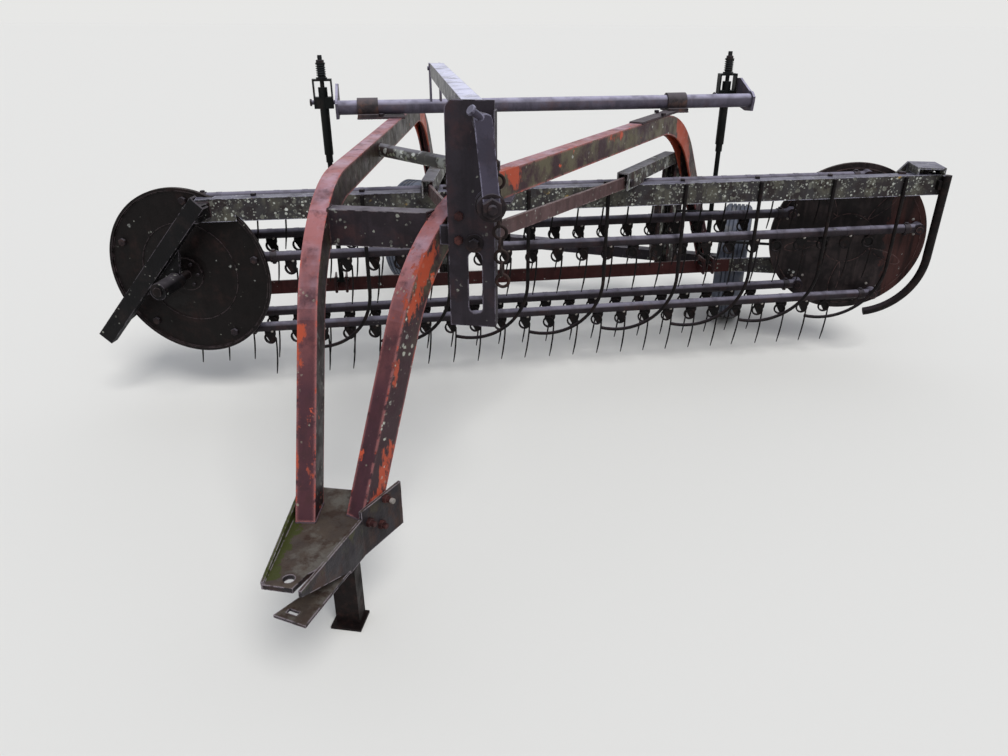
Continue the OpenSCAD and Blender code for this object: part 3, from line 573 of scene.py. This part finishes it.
def lichen_grey():
    """Grey steel largely overgrown with pale lichen, with a painted highlight on its top faces."""
    p = Paint("grey_lichen", srgb(74, 72, 70), 0.6)
    p.patches(srgb(58, 48, 46), 10.0, 0.52, 0.05, 3.0)
    p.patches(srgb(150, 152, 146), 16.0, 0.58, 0.04, 5.5, most=0.85)
    p.spots(LICHEN, 40.0, 0.5, 0.46, 2.7)
    p.spots(srgb(122, 124, 108), 75.0, 0.6, 0.42, 8.7)
    # Top faces lightened in patches: painted highlight
    p.mix(p.math("MULTIPLY", p.facing(2), p.ramp(p.noise(12.0), 0.35, 0.5)), srgb(116, 114, 120))
    # Lighter edges: worn paint, partly painted highlight
    p.worn_and_highlit_edges(srgb(146, 142, 146), 0.005, 0.47)
    return p.finish(0.4, 150.0, 0.45, 0.65)


# Dark machine paints: base, rust, painted highlight of the top faces, how sparse the lichen is, worn
# edges partly painted highlight, and gloss
DARK_LOOKS = {
    "frame_paint": (srgb(47, 42, 48), srgb(58, 40, 42), srgb(84, 80, 90), 0.63, srgb(112, 106, 118)),
    "channel_paint": (srgb(45, 38, 43), srgb(62, 42, 42), srgb(104, 98, 106), 0.53, srgb(128, 120, 124)),
    "pale_top": (srgb(70, 66, 74), srgb(84, 74, 80), srgb(214, 214, 236), 0.66, srgb(170, 166, 182),
                 (0.25, 0.45)),
    "shaft_steel": (srgb(88, 83, 95), srgb(80, 62, 64), srgb(168, 164, 184), 0.66),
    "crank_steel": (srgb(60, 56, 68), srgb(60, 46, 50), srgb(140, 138, 156), 0.7, srgb(132, 128, 146)),
    "tube_steel": (srgb(42, 36, 41), srgb(50, 33, 32), srgb(122, 118, 132), 0.7),
    "jack_green": (srgb(15, 18, 18), srgb(38, 31, 28), srgb(58, 62, 66)),
    "rim_paint": (srgb(110, 52, 42), srgb(76, 46, 40), srgb(124, 86, 80), 0.68),
    "beam_red": (srgb(70, 36, 35), srgb(50, 34, 34), srgb(136, 124, 122), 0.6),
    "link_steel": (srgb(92, 72, 72), srgb(72, 50, 48), srgb(116, 98, 100), 0.54, srgb(140, 118, 116)),
    "head_steel": (srgb(17, 12, 12), srgb(38, 24, 22), srgb(52, 45, 45), 0.66, srgb(70, 60, 62)),
    "arm_steel": (srgb(15, 14, 16), srgb(34, 26, 25), srgb(70, 66, 70), 0.6, srgb(92, 86, 92)),
}

# Bare steels and rubber: base, brighter rust and, where there is one, a painted highlight for the top
# faces
RUSTY_LOOKS = {
    "stand_steel": (srgb(19, 11, 11), srgb(40, 24, 21)),
    "chain_steel": (srgb(32, 23, 22), srgb(56, 36, 31), srgb(62, 50, 48)),
    "belt_rubber": (srgb(26, 26, 28), srgb(44, 44, 46)),
    "sheave_iron": (srgb(44, 38, 38), srgb(76, 50, 42)),
    "cast_iron": (srgb(58, 52, 54), srgb(84, 60, 52), srgb(100, 94, 98)),
    "rod_steel": (srgb(15, 11, 12), srgb(34, 22, 20), srgb(56, 48, 54)),
    "tine_steel": (srgb(13, 10, 11), srgb(36, 23, 21), srgb(52, 45, 49)),
    "bolt_pale": (srgb(150, 144, 138), srgb(104, 90, 82)),
    "bolt_red": (srgb(58, 34, 34), srgb(82, 48, 44)),
    "weld": (srgb(50, 37, 39), srgb(86, 58, 54), srgb(86, 76, 82)),
    "bolt_dark": (srgb(36, 30, 33), srgb(62, 46, 43), srgb(86, 82, 88)),
}


def make_materials():
    """Every material slot of the record gets its own weathered look."""
    looks = {
        # The third value of each arch is the painted shade of its side walls, deepest on the left arch
        "arch_paint": arch_paint("arch_left_paint", 0.0, srgb(24, 10, 13), 0.25, LEFT_PATCHES),
        "arch_right_paint": arch_paint("arch_right_paint", 31.0, srgb(54, 38, 42), 1.0, RIGHT_PATCHES),
        "frame_steel": beam_paint(),
        "grey_lichen": lichen_grey(),
        "tyre": tyre_rubber(),
        "drawbar_steel": drawbar_paint(),
        "rear_head_steel": rear_head_paint(),
    }
    for name, colours in DARK_LOOKS.items():
        looks[name] = dark_paint(name, *colours)
    for name, colours in RUSTY_LOOKS.items():
        looks[name] = rusty(name, *colours)
    return looks


MATERIALS = make_materials()
OWN_LOOK = {
    "arch_right": "arch_right_paint",
    "brace_pipe": "grey_lichen",
    "cross_arch_left": "grey_lichen",
    "cross_arch_right": "grey_lichen",
    "cross_channel": "channel_paint",
    "rear_head": "rear_head_steel",
    "rockshaft": "shaft_steel",
    "screw_channel": "pale_top",
    "crank_screw": "frame_paint",
    "parking_stand": "stand_steel",
    "stand_bracket": "stand_steel",
    "front_head_arm": "arm_steel",
    "front_link": "rod_steel",
    "end_guard": "rod_steel",
    "drag_posts": "frame_paint",
    "drag_lugs": "bolt_dark",
    "jack_lugs": "beam_red",
}


def dress_frame():
    """The carried-over CAD pieces keep their shape and get their looks."""
    slots = {part["node"]: part["material_slot"] for part in frame["record"]["subparts"]}
    for name, obj in NODES.items():
        look = MATERIALS[OWN_LOOK.get(name, slots[name])]
        obj.data.materials.clear()
        obj.data.materials.append(look)


class Shape:
    """One mesh piece that is filled by sweeps, prisms and lathes and then rides on a body."""

    def __init__(self, name, look):
        self.name = name
        self.look = look
        self.made = bmesh.new()

    def loft(self, rings):
        """Skins a row of closed rings, each a list of points, and caps both ends."""
        rows = [[self.made.verts.new(p) for p in ring] for ring in rings]
        for low, high in zip(rows, rows[1:]):
            for i in range(len(low)):
                j = (i + 1) % len(low)
                self.made.faces.new((low[i], low[j], high[j], high[i]))
        self.made.faces.new(list(reversed(rows[0])))
        self.made.faces.new(rows[-1])

    def sweep(self, points, radius, sides=8):
        """A round wire along points; radius may be a number or one for each point."""
        points = [Vector(p) for p in points]
        radii = radius if isinstance(radius, list) else [radius] * len(points)
        ahead = (points[1] - points[0]).normalized()
        across = ahead.orthogonal().normalized()
        rings = []
        for i, p in enumerate(points):
            a = points[max(i - 1, 0)]
            b = points[min(i + 1, len(points) - 1)]
            turned = (b - a).normalized()
            across = (across - turned * across.dot(turned)).normalized()
            around = circle(across, turned.cross(across), sides)
            rings.append([p + radii[i] * out for out in around])
        self.loft(rings)

    def prism(self, at, axis, radius, height, sides=6, chamfer=0.15):
        """A bolt head, nut or washer that stands from a point along an axis."""
        at = Vector(at)
        axis = Vector(axis).normalized()
        across = UP.cross(axis) if abs(axis.z) < 0.9 else Vector((1, 0, 0))
        across.normalize()
        around = circle(across, axis.cross(across), sides, 0.5)
        cut = min(radius, height) * chamfer
        steps = ((0, radius), (height - cut, radius), (height, radius - cut))
        self.loft([[at + up * axis + r * out for out in around] for up, r in steps])

    def dome(self, at, axis, radius, height):
        """A round bolt head, flat behind and crowned in front."""
        at = Vector(at)
        axis, across, third = square_to(axis)
        around = circle(across, third, 14)
        steps = ((-0.2, 1.0), (0.35, 1.0), (0.75, 0.8), (0.97, 0.4))
        self.loft([[at + up * height * axis + r * radius * out for out in around] for up, r in steps])

    def slab(self, corners, across):
        """A flat plate from its outline and its thickness as a vector."""
        self.loft([[Vector(c) for c in corners], [Vector(c) + Vector(across) for c in corners]])

    def wrap(self, rows):
        """A skin over rows of points that closes in both directions."""
        verts = [[self.made.verts.new(p) for p in row] for row in rows]
        for i, row in enumerate(verts):
            after = verts[(i + 1) % len(verts)]
            for k in range(len(row)):
                m = (k + 1) % len(row)
                self.made.faces.new((row[k], row[m], after[m], after[k]))

    def turned(self, at, axis, profile, steps):
        """A closed profile of radius and place along the axis, turned about that axis."""
        at = Vector(at)
        axis, across, third = square_to(axis)
        around = circle(across, third, steps)
        self.wrap([[at + r * out + x * axis for r, x in profile] for out in around])

    def ring(self, at, axis, radius, wire, turns=24, sides=8):
        """A closed wire ring about an axis."""
        turn = [2 * math.pi * k / sides for k in range(sides)]
        profile = [(radius + wire * math.cos(t), wire * math.sin(t)) for t in turn]
        self.turned(at, axis, profile, turns)

    def done(self, body, replaces=(), smooth=35):
        """Writes the mesh, and says its body if one carries it whole and the replaced nodes."""
        bmesh.ops.recalc_face_normals(self.made, faces=self.made.faces)
        mesh = bpy.data.meshes.new(self.name)
        self.made.to_mesh(mesh)
        self.made.free()
        obj = bpy.data.objects.new(self.name, mesh)
        bpy.context.scene.collection.objects.link(obj)
        mesh.materials.append(MATERIALS[self.look])
        for face in mesh.polygons:
            face.use_smooth = True
        mesh.set_sharp_from_angle(angle=math.radians(smooth))
        if body:
            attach(obj, body)
        if replaces:
            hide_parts(*replaces)
        return obj


def coil(at, radius, turns, pitch, start=0.0, steps=16):
    """Points of a coil about the Y axis."""
    count = int(turns * steps)
    points = []
    for i in range(count + 1):
        t = start + 2 * math.pi * i / steps
        y = pitch * (i / steps - turns / 2)
        points.append(Vector(at) + spoke(t, radius, y))
    return points


def head_angle(k):
    """The angle of a bar's pin round its head."""
    pin = BAR_PINS[k]
    return math.atan2(pin.z - FRONT_HEAD.z, pin.x - FRONT_HEAD.x)


def make_tines(k):
    """A bar's tines: coils and legs, with clamps whose wedge is on the near and far side in turn."""
    wire = Shape(f"tine_row_{k}", "tine_steel")
    heads = Shape(f"tine_bolts_{k}", "bolt_pale")
    bands = Shape(f"bar_bands_{k}", "tube_steel")
    pin = BAR_PINS[k - 1]
    coil_z = -BAR_R - CLAMP_DROP - COIL_R
    for i in range(TINES):
        at = pin + (TINE_START + i * TINE_PITCH) * REEL_X
        near = i % 2 == 0
        lean = random.uniform(*TINE_LEAN)
        # the coil begins at the clamp and ends in the leg at its right side
        points = coil(at + Vector((0, 0, coil_z)), COIL_R, COIL_TURNS, COIL_PITCH, math.pi / 2)
        foot = at + Vector((LEG_OUT + lean, 0, -TINE_DEPTH + 0.002))
        side = points[-1]
        for t in (0.25, 0.5, 0.75, 1.0):
            points.append(side.lerp(foot, t) + Vector((LEG_BOW * math.sin(math.pi * t), 0, 0)))
        wire.sweep(points, [WIRE_R] * (len(points) - 1) + [WIRE_R * 0.6], 8)
        y = -0.0075 if near else 0.0015
        corners = [at + Vector((WEDGE_OUT + x, y, z - BAR_R + 0.004)) for x, z in WEDGE]
        wire.slab(corners, (0, WEDGE_THICK, 0))
        wire.prism(at + Vector((0, -0.008, -BAR_R - 0.006)), (0, 1, 0), 0.009, 0.016, 4)
        if near:
            heads.dome(at + Vector((0.016, -0.0075, -BAR_R + 0.003)), (0, -1, 0), 0.0062, 0.004)
        bands.sweep([at - BAND_HALF * REEL_X, at + BAND_HALF * REEL_X], BAR_R + 0.0012, 24)
    wire.done(f"bar_{k}", [f"tines_{k}"])
    heads.done(f"bar_{k}")
    bands.done(f"bar_{k}")


def tread_profile(outer):
    """Half the wall, the tread's ribs with grooves between them, and the other half: radius and place."""
    rim = outer - TYRE_WALL
    profile = [(rim + out, -TYRE_HALF + inward) for out, inward in BEAD_SIDE]
    profile += [(outer - below, -TYRE_HALF + inward) for below, inward in SHOULDER]
    mirror = [(r, -x) for r, x in reversed(profile)]
    width = (2 * TYRE_HALF - 2 * TREAD_EDGE) / TREAD_RIBS
    for n in range(TREAD_RIBS):
        left = -TYRE_HALF + TREAD_EDGE + n * width
        profile += [(outer - 0.0005, left + 0.0005), (outer, left + width - GROOVE_WIDTH)]
        if n < TREAD_RIBS - 1:
            profile += [(outer - GROOVE_DEPTH, left + width - GROOVE_WIDTH + 0.001)]
            profile += [(outer - GROOVE_DEPTH, left + width - 0.001)]
    return profile + mirror


def make_tyre(side):
    """A ribbed road tyre, turned about its own axle line, with wheel nuts, a hub cap and a valve."""
    joint = JOINTS[f"wheel_{side}_spin"]
    at = Vector(joint["pos_m"])
    axis, across, third = square_to(joint["axis"])
    low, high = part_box(f"tyre_{side}")
    tyre = Shape(f"tyre_{side}_ribbed", "tyre")
    tyre.turned(at, axis, tread_profile((high.z - low.z) / 2), 72)
    tyre.done(f"wheel_{side}", [f"tyre_{side}"], 30)
    nuts = Shape(f"wheel_nuts_{side}", "bolt_dark")
    outward = -1 if side == "left" else 1
    for out in circle(across, third, WHEEL_NUTS):
        nuts.prism(at + NUT_CIRCLE * out + outward * 0.0035 * axis, outward * axis, 0.012, 0.012)
    nuts.prism(at + 0.002 * outward * axis, outward * axis, HUB_CAP_R, 0.022, 20, 0.3)
    nuts.sweep([at + r * across + x * outward * axis for r, x in (VALVE_FOOT, VALVE_END)], VALVE_R, 8)
    nuts.done(f"wheel_{side}")


def make_jack(side):
    """Spring, thread and nut on the jack's stub, and the nut of its pin on the rockshaft's arm."""
    at = Vector(JOINTS[f"jack_{side}_pivot"]["pos_m"])
    spring = Shape(f"jack_spring_{side}", "jack_green")
    points = []
    for i in range(SPRING_TURNS * SPRING_STEPS + 1):
        t = 2 * math.pi * i / SPRING_STEPS
        up = SPRING_LOW + SPRING_LENGTH * i / (SPRING_TURNS * SPRING_STEPS)
        points.append(at + Vector((SPRING_R * math.cos(t), SPRING_R * math.sin(t), up)))
    spring.sweep(points, SPRING_WIRE, 8)
    for i in range(THREADS):
        spring.ring(at + Vector((0, 0, THREAD_LOW + THREAD_PITCH * i)), UP, THREAD_R, 0.0013, 20, 6)
    spring.done(f"jack_{side}")
    nuts = Shape(f"jack_nuts_{side}", "bolt_dark")
    nuts.prism(at + Vector((0, 0, THREAD_LOW - 0.003)), UP, 0.0165, 0.011)
    nuts.done(f"jack_{side}")
    pin = Shape(f"arm_pin_nut_{side}", "bolt_dark")
    pin.prism(at - ARM_PIN_OUT * REEL_X, -REEL_X, 0.0145, 0.008)
    pin.done("rockshaft")


def make_beam_bolts():
    """Bolts on the beam's top: one over each stripper and three at its ends."""
    bolts = Shape("frame_bolts", "bolt_dark")
    to_face = (STRIPPER_R - BEAM_FACE) / REEL_X.y
    for i in range(STRIPPERS):
        rod = reel(STRIPPER_START + STRIPPER_PITCH * i, 0, 0) + Vector((to_face, 0, 0))
        along = (rod - REEL_AT).dot(REEL_X)
        bolts.prism(reel(along, BEAM_BACK - 0.014, BEAM_TOP), UP, 0.013, 0.011, 4)
    for u in BEAM_END_BOLTS:
        bolts.prism(reel(u, BEAM_BACK - 0.016, BEAM_TOP), UP, 0.012, 0.010, 4)
    bolts.done("reel_frame")


def make_plate_bolts():
    """Rusty bolts on the crank post and the jaw, and the big washer on the post."""
    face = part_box("crank_post")[0].y
    red = Shape("post_bolts", "bolt_red")
    for x, z in POST_BOLTS:
        red.prism((x, face, z), (0, -1, 0), 0.012, 0.010)
    turn = math.radians(JAW_WALL_TURN)
    wall = Vector((math.sin(turn), -math.cos(turn), 0))
    pale = Shape("jaw_bolt_end", "bolt_pale")
    for at in JAW_BOLTS:
        red.prism(Vector(at) - 0.001 * wall, wall, 0.013, 0.011)
        red.prism(Vector(at) + 0.009 * wall, wall, 0.008, 0.012, 12)
    pale.prism(Vector(JAW_BOLTS[-1]) + 0.020 * wall, wall, 0.0075, 0.010, 12)
    red.done("carriage")
    pale.done("carriage")
    washer = Shape("post_washer", "bolt_dark")
    at = Vector((POST_WASHER[0], face, POST_WASHER[1]))
    washer.prism(at, (0, -1, 0), 0.024, 0.004, 20)
    washer.prism(at + Vector((0, -0.004, 0)), (0, -1, 0), 0.014, 0.011)
    washer.done("carriage")


def make_head_rivets():
    """Pale rivets on the rear head, and nuts on the front head's bar pins and hub."""
    rear = Shape("rear_head_rivets", "bolt_pale")
    for k in range(len(BAR_PINS)):
        for spread, r in RIVETS:
            at = REAR_HEAD + spoke(head_angle(k) + spread, r, -0.003)
            rear.dome(at, (0, -1, 0), 0.0068, 0.004)
    rear.done("rear_head")
    front = Shape("front_head_rivets", "bolt_dark")
    for pin in BAR_PINS:
        front.prism(Vector((pin.x, FRONT_HEAD.y - 0.003, pin.z)), (0, -1, 0), 0.017, 0.011)
    for k in range(HUB_BOLTS):
        out = spoke(2 * math.pi * k / HUB_BOLTS, HUB_CIRCLE, -0.030)
        front.prism(FRONT_HEAD + out, (0, -1, 0), 0.008, 0.007)
    front.done("front_head")


def make_crank():
    """The crank's wide arm with its knob, and the big washer and nut at its foot."""
    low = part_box("crank_screw")[0]
    u = CRANK_U + CRANK_LEAN
    y = low.y + BOSS_R * REEL_X.y
    v = (y - REEL_AT.y - u * REEL_X.y) / REEL_X.x
    dark = Shape("crank_nuts", "bolt_dark")
    boss = reel(u, v, low.z + BOSS_R)
    dark.prism(boss, -REEL_Y, 0.034, 0.004, 28, 0.4)
    dark.prism(boss - 0.003 * REEL_Y, -REEL_Y, 0.025, 0.014, 6)
    dark.prism(boss - 0.016 * REEL_Y, -REEL_Y, 0.012, 0.010, 16, 0.3)
    top = reel(CRANK_U, v + CRANK_BACK, low.z + BOSS_R + CRANK_REACH)
    arm = Shape("crank_arm", "crank_steel")
    foot = boss + Vector((0, 0, 0.012))
    outline = [foot - ARM_FOOT_HALF * REEL_X, foot + ARM_FOOT_HALF * REEL_X]
    corner = ((0.021, 0.010), (0.018, 0.017), (0.010, 0.021))
    outline += [top + across * REEL_X + up * UP for across, up in corner]
    outline += [top - across * REEL_X + up * UP for across, up in reversed(corner)]
    arm.slab([p + 0.002 * REEL_Y for p in outline], -0.008 * REEL_Y)
    way = (-0.62 * REEL_X + 0.5 * UP - 0.35 * REEL_Y).normalized()
    knob = top - 0.004 * REEL_X + 0.012 * UP
    arm.prism(knob, way, 0.0085, 0.034, 16, 0.1)
    arm.prism(knob + 0.030 * way, way, 0.0125, 0.006, 16, 0.3)
    arm.done("carriage")
    dark.ring(boss + 0.026 * REEL_Y, REEL_Y, 0.0335, 0.0016, 40, 6)
    dark.done("carriage")


def make_bearing_bolts():
    """A bolt on each side of the rockshaft's two bearings."""
    bolts = Shape("bearing_bolts", "bolt_dark")
    for node in ("bearing_left", "bearing_right"):
        low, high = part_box(node)
        middle = (low + high) / 2
        for out in (-1, 1):
            at = Vector((middle.x, middle.y, low.z)) + out * BEARING_BOLT_OUT * REEL_Y
            bolts.prism(Vector((at.x, at.y, low.z + 0.008)), UP, 0.011, 0.010)
    bolts.done("carriage")


def weld(shape, a, b, radius=0.0032):
    """A rippled weld bead from a to b."""
    count = max(2, int((b - a).length / WELD_RIPPLE))
    line = [a.lerp(b, i / count) for i in range(count + 1)]
    radii = [radius * (1.0 if i % 2 else 0.76) * random.uniform(0.9, 1.1) for i in range(len(line))]
    shape.sweep(line, radii, 6)


def make_seams():
    """Weld beads round the ends of channels, pipes and plates."""
    for n, (node, way, body) in enumerate(SEAMS):
        way = Vector(way).normalized()
        shape = Shape(f"weld_{n}_{node}", "weld")
        mesh = NODES[node].data
        seen = {}
        for face in mesh.polygons:
            if face.normal.dot(way) > 0.995:
                for edge in face.edge_keys:
                    seen[edge] = seen.get(edge, 0) + 1
        for (i, j), count in seen.items():
            a, b = mesh.vertices[i].co, mesh.vertices[j].co
            if count == 1 and (a - b).length > 0.003:
                weld(shape, a.copy(), b.copy())
        shape.done(body)


def make_foot_welds():
    """Weld beads where the arches stand on the hitch plate."""
    feet = Shape("weld_arch_feet", "weld")
    for node in ("arch_left", "arch_right"):
        mesh = NODES[node].data
        for edge in mesh.edges:
            a, b = (mesh.vertices[i].co for i in edge.vertices)
            level = abs(a.z - b.z) < 0.001 and abs(a.z) < 0.03
            if level and max(a.y, b.y) < FEET_BEFORE and (a - b).length > 0.02:
                lift = Vector((0, 0, PLATE_TOP - a.z))
                weld(feet, a + lift, b + lift, 0.0036)
    feet.done("carriage")


def make_belt():
    """The worn V-belt round both sheaves; no body carries it."""
    x, y, z = JOINTS["drive_sheave_spin"]["pos_m"]
    lean = math.asin((BELT_R[1] - BELT_R[0]) / (REAR_HEAD.x - x))
    path = []
    for i in range(BELT_STEPS + 1):
        t = math.pi / 2 + lean + (math.pi - 2 * lean) * i / BELT_STEPS
        path.append((x, BELT_R[0], t))
    for i in range(BELT_STEPS + 1):
        t = -math.pi / 2 - lean + (math.pi + 2 * lean) * i / BELT_STEPS
        path.append((REAR_HEAD.x, BELT_R[1], t))
    rows = []
    for n, (centre, radius, t) in enumerate(path):
        out = spoke(t)
        at = Vector((centre, y, z)) + radius * out
        rows.append([at + r * out + Vector((0, w, 0)) for r, w in BELT_PROFILE])
        after = path[(n + 1) % len(path)]
        if after[0] != centre:
            goal = Vector((after[0], y, z)) + after[1] * spoke(after[2])
            for i in range(1, BELT_STEPS):
                middle = at.lerp(goal, i / BELT_STEPS)
                rows.append([middle + r * out + Vector((0, w, 0)) for r, w in BELT_PROFILE])
    belt = Shape("v_belt", "belt_rubber")
    belt.wrap(rows)
    obj = belt.done(None, ["drive_belt"])
    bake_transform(obj)


def make_gearbox():
    """Lids, bolts and a bearing cap on the gearbox."""
    low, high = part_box("drive_gearbox")
    back = high.y
    cast = Shape("gearbox_lids", "cast_iron")
    bolts = Shape("gearbox_bolts", "bolt_dark")
    for z, lip, thick in ((high.z - 0.012, 0.006, 0.009), (low.z + 0.06, 0.004, 0.007)):
        corners = [(low.x - lip, GEARBOX_FRONT - lip, z), (high.x + lip, GEARBOX_FRONT - lip, z)]
        corners += [(high.x + lip, back + lip, z), (low.x - lip, back + lip, z)]
        cast.slab(corners, (0, 0, thick))
    for x in (low.x + 0.018, high.x - 0.018):
        for y in (GEARBOX_FRONT + 0.02, (GEARBOX_FRONT + back) / 2, back - 0.02):
            bolts.prism((x, y, high.z), UP, 0.009, 0.008)
    corners = [(low.x + 0.02, back - 0.001, low.z + 0.09), (high.x - 0.02, back - 0.001, low.z + 0.09)]
    corners += [(high.x - 0.02, back - 0.001, high.z - 0.05), (low.x + 0.02, back - 0.001, high.z - 0.05)]
    cast.slab(corners, (0, 0.007, 0))
    for x in (low.x + 0.032, high.x - 0.032):
        for z in (low.z + 0.102, (low.z + high.z) / 2 + 0.02, high.z - 0.062):
            bolts.prism((x, back + 0.006, z), (0, 1, 0), 0.008, 0.007)
    cap = Vector((high.x - 0.001, *GEARBOX_CAP))
    cast.prism(cap, (1, 0, 0), 0.048, 0.012, 32, 0.25)
    cast.prism(cap, (1, 0, 0), 0.026, 0.022, 24, 0.3)
    for i in range(4):
        t = math.pi / 4 + math.pi / 2 * i
        out = Vector((0.011, CAP_CIRCLE * math.cos(t), CAP_CIRCLE * math.sin(t)))
        bolts.prism(cap + out, (1, 0, 0), 0.007, 0.006)
    cast.done("carriage")
    bolts.done("carriage")


def make_head_ribs():
    """Pressed ribs and rolled beads on the rear head's front face, and beads on the front head."""
    ribs = Shape("rear_head_ribs", "rear_head_steel")
    for k in range(len(BAR_PINS)):
        t = head_angle(k) + math.pi / len(BAR_PINS)
        out = spoke(t)
        across = Vector((-math.sin(t), 0, math.cos(t)))
        rings = []
        for lift, share in ((0.0, 1.0), (0.0035, 0.82), (0.0048, 0.5)):
            ring = []
            for i in range(24):
                a = 2 * math.pi * i / 24
                reach = RIB_MIDDLE + RIB_REACH * math.cos(a) * share
                width = RIB_WIDTH * share * math.sin(a) * (0.72 + 0.28 * math.cos(a))
                ring.append(REAR_HEAD + reach * out + width * across + Vector((0, -0.0028 - lift, 0)))
            rings.append(ring)
        ribs.loft(rings)
    for r in REAR_BEADS:
        ribs.ring(REAR_HEAD + Vector((0, -0.003, 0)), (0, 1, 0), r, 0.0026, 72, 8)
    ribs.done("rear_head")
    front = Shape("front_head_beads", "head_steel")
    for r in FRONT_BEADS:
        front.ring(FRONT_HEAD + Vector((0, -0.0035, 0)), (0, 1, 0), r, 0.0022, 72, 8)
    front.done("front_head")


def make_bar_fittings():
    """A clamp with bolts above and below at both ends of each bar."""
    for k, pin in enumerate(BAR_PINS, 1):
        ends = Shape(f"bar_clamps_{k}", "bolt_dark")
        for u in (BAR_CLAMP_IN, BAR_LEN - BAR_CLAMP_IN):
            at = pin + u * REEL_X
            ends.prism(at + Vector((0, 0, BAR_R)), UP, 0.010, 0.009)
            ends.prism(at - Vector((0, 0, BAR_R)), -UP, 0.009, 0.010)
            ends.sweep([at - 0.014 * REEL_X, at + 0.014 * REEL_X], BAR_R + 0.0035, 24)
        ends.done(f"bar_{k}")


def make_camera():
    """The photograph's camera: level, pitched down and turned a little toward -X."""
    data = bpy.data.cameras.new("camera")
    data.lens = CAMERA_LENS
    data.sensor_width = 36
    camera = bpy.data.objects.new("camera", data)
    camera.location = CAMERA_AT
    camera.rotation_euler = (math.radians(90 - CAMERA_DOWN), 0, math.radians(CAMERA_TURN))
    bpy.context.scene.collection.objects.link(camera)
    bpy.context.scene.camera = camera


def make_floor():
    """A pale floor that keeps the shadow."""
    mesh = bpy.data.meshes.new("floor")
    made = bmesh.new()
    bmesh.ops.create_grid(made, x_segments=1, y_segments=1, size=60)
    made.to_mesh(mesh)
    made.free()
    floor = bpy.data.objects.new("floor", mesh)
    floor.location = (0, 0, GROUND)
    bpy.context.scene.collection.objects.link(floor)
    material = bpy.data.materials.new("floor")
    material.use_nodes = True
    shader = material.node_tree.nodes["Principled BSDF"]
    shader.inputs["Base Color"].default_value = srgb(222, 220, 214)
    shader.inputs["Roughness"].default_value = 0.9
    mesh.materials.append(material)


def make_surround():
    """Daylight from all sides; the camera and the reflections see a white surround instead."""
    world = bpy.data.worlds.new("world")
    bpy.context.scene.world = world
    world.use_nodes = True
    nodes, links = world.node_tree.nodes, world.node_tree.links
    light = nodes["Background"]
    light.inputs["Color"].default_value = (0.86, 0.90, 1.0, 1)
    light.inputs["Strength"].default_value = SKY_STRENGTH
    seen = nodes.new("ShaderNodeBackground")
    seen.inputs["Color"].default_value = (0.80, 0.80, 0.79, 1)
    seen.inputs["Strength"].default_value = 1.0
    path = nodes.new("ShaderNodeLightPath")
    seen_or_glossy = nodes.new("ShaderNodeMath")
    seen_or_glossy.operation = "MAXIMUM"
    any_of_three = nodes.new("ShaderNodeMath")
    any_of_three.operation = "MAXIMUM"
    links.new(path.outputs["Is Camera Ray"], seen_or_glossy.inputs[0])
    links.new(path.outputs["Is Glossy Ray"], seen_or_glossy.inputs[1])
    links.new(seen_or_glossy.outputs[0], any_of_three.inputs[0])
    links.new(path.outputs["Is Transmission Ray"], any_of_three.inputs[1])
    mix = nodes.new("ShaderNodeMixShader")
    links.new(any_of_three.outputs[0], mix.inputs["Fac"])
    links.new(light.outputs[0], mix.inputs[1])
    links.new(seen.outputs[0], mix.inputs[2])
    links.new(mix.outputs[0], nodes["World Output"].inputs["Surface"])


def make_sun():
    """A soft sun, high over the hitch and from its right."""
    sun = bpy.data.lights.new("sky_key", "SUN")
    sun.energy = SUN_ENERGY
    sun.angle = math.radians(SUN_SPREAD)
    key = bpy.data.objects.new("sky_key", sun)
    key.rotation_euler = (math.radians(30), math.radians(24), 0)
    bpy.context.scene.collection.objects.link(key)


make_camera()
make_floor()
make_surround()
make_sun()
dress_frame()
for number in range(1, len(BAR_PINS) + 1):
    make_tines(number)
for wheel in ("left", "right"):
    make_tyre(wheel)
    make_jack(wheel)
make_beam_bolts()
make_plate_bolts()
make_head_rivets()
make_crank()
make_bearing_bolts()
make_head_ribs()
make_bar_fittings()
make_seams()
make_foot_welds()
make_belt()
make_gearbox()
bpy.context.scene.view_settings.view_transform = "Standard"
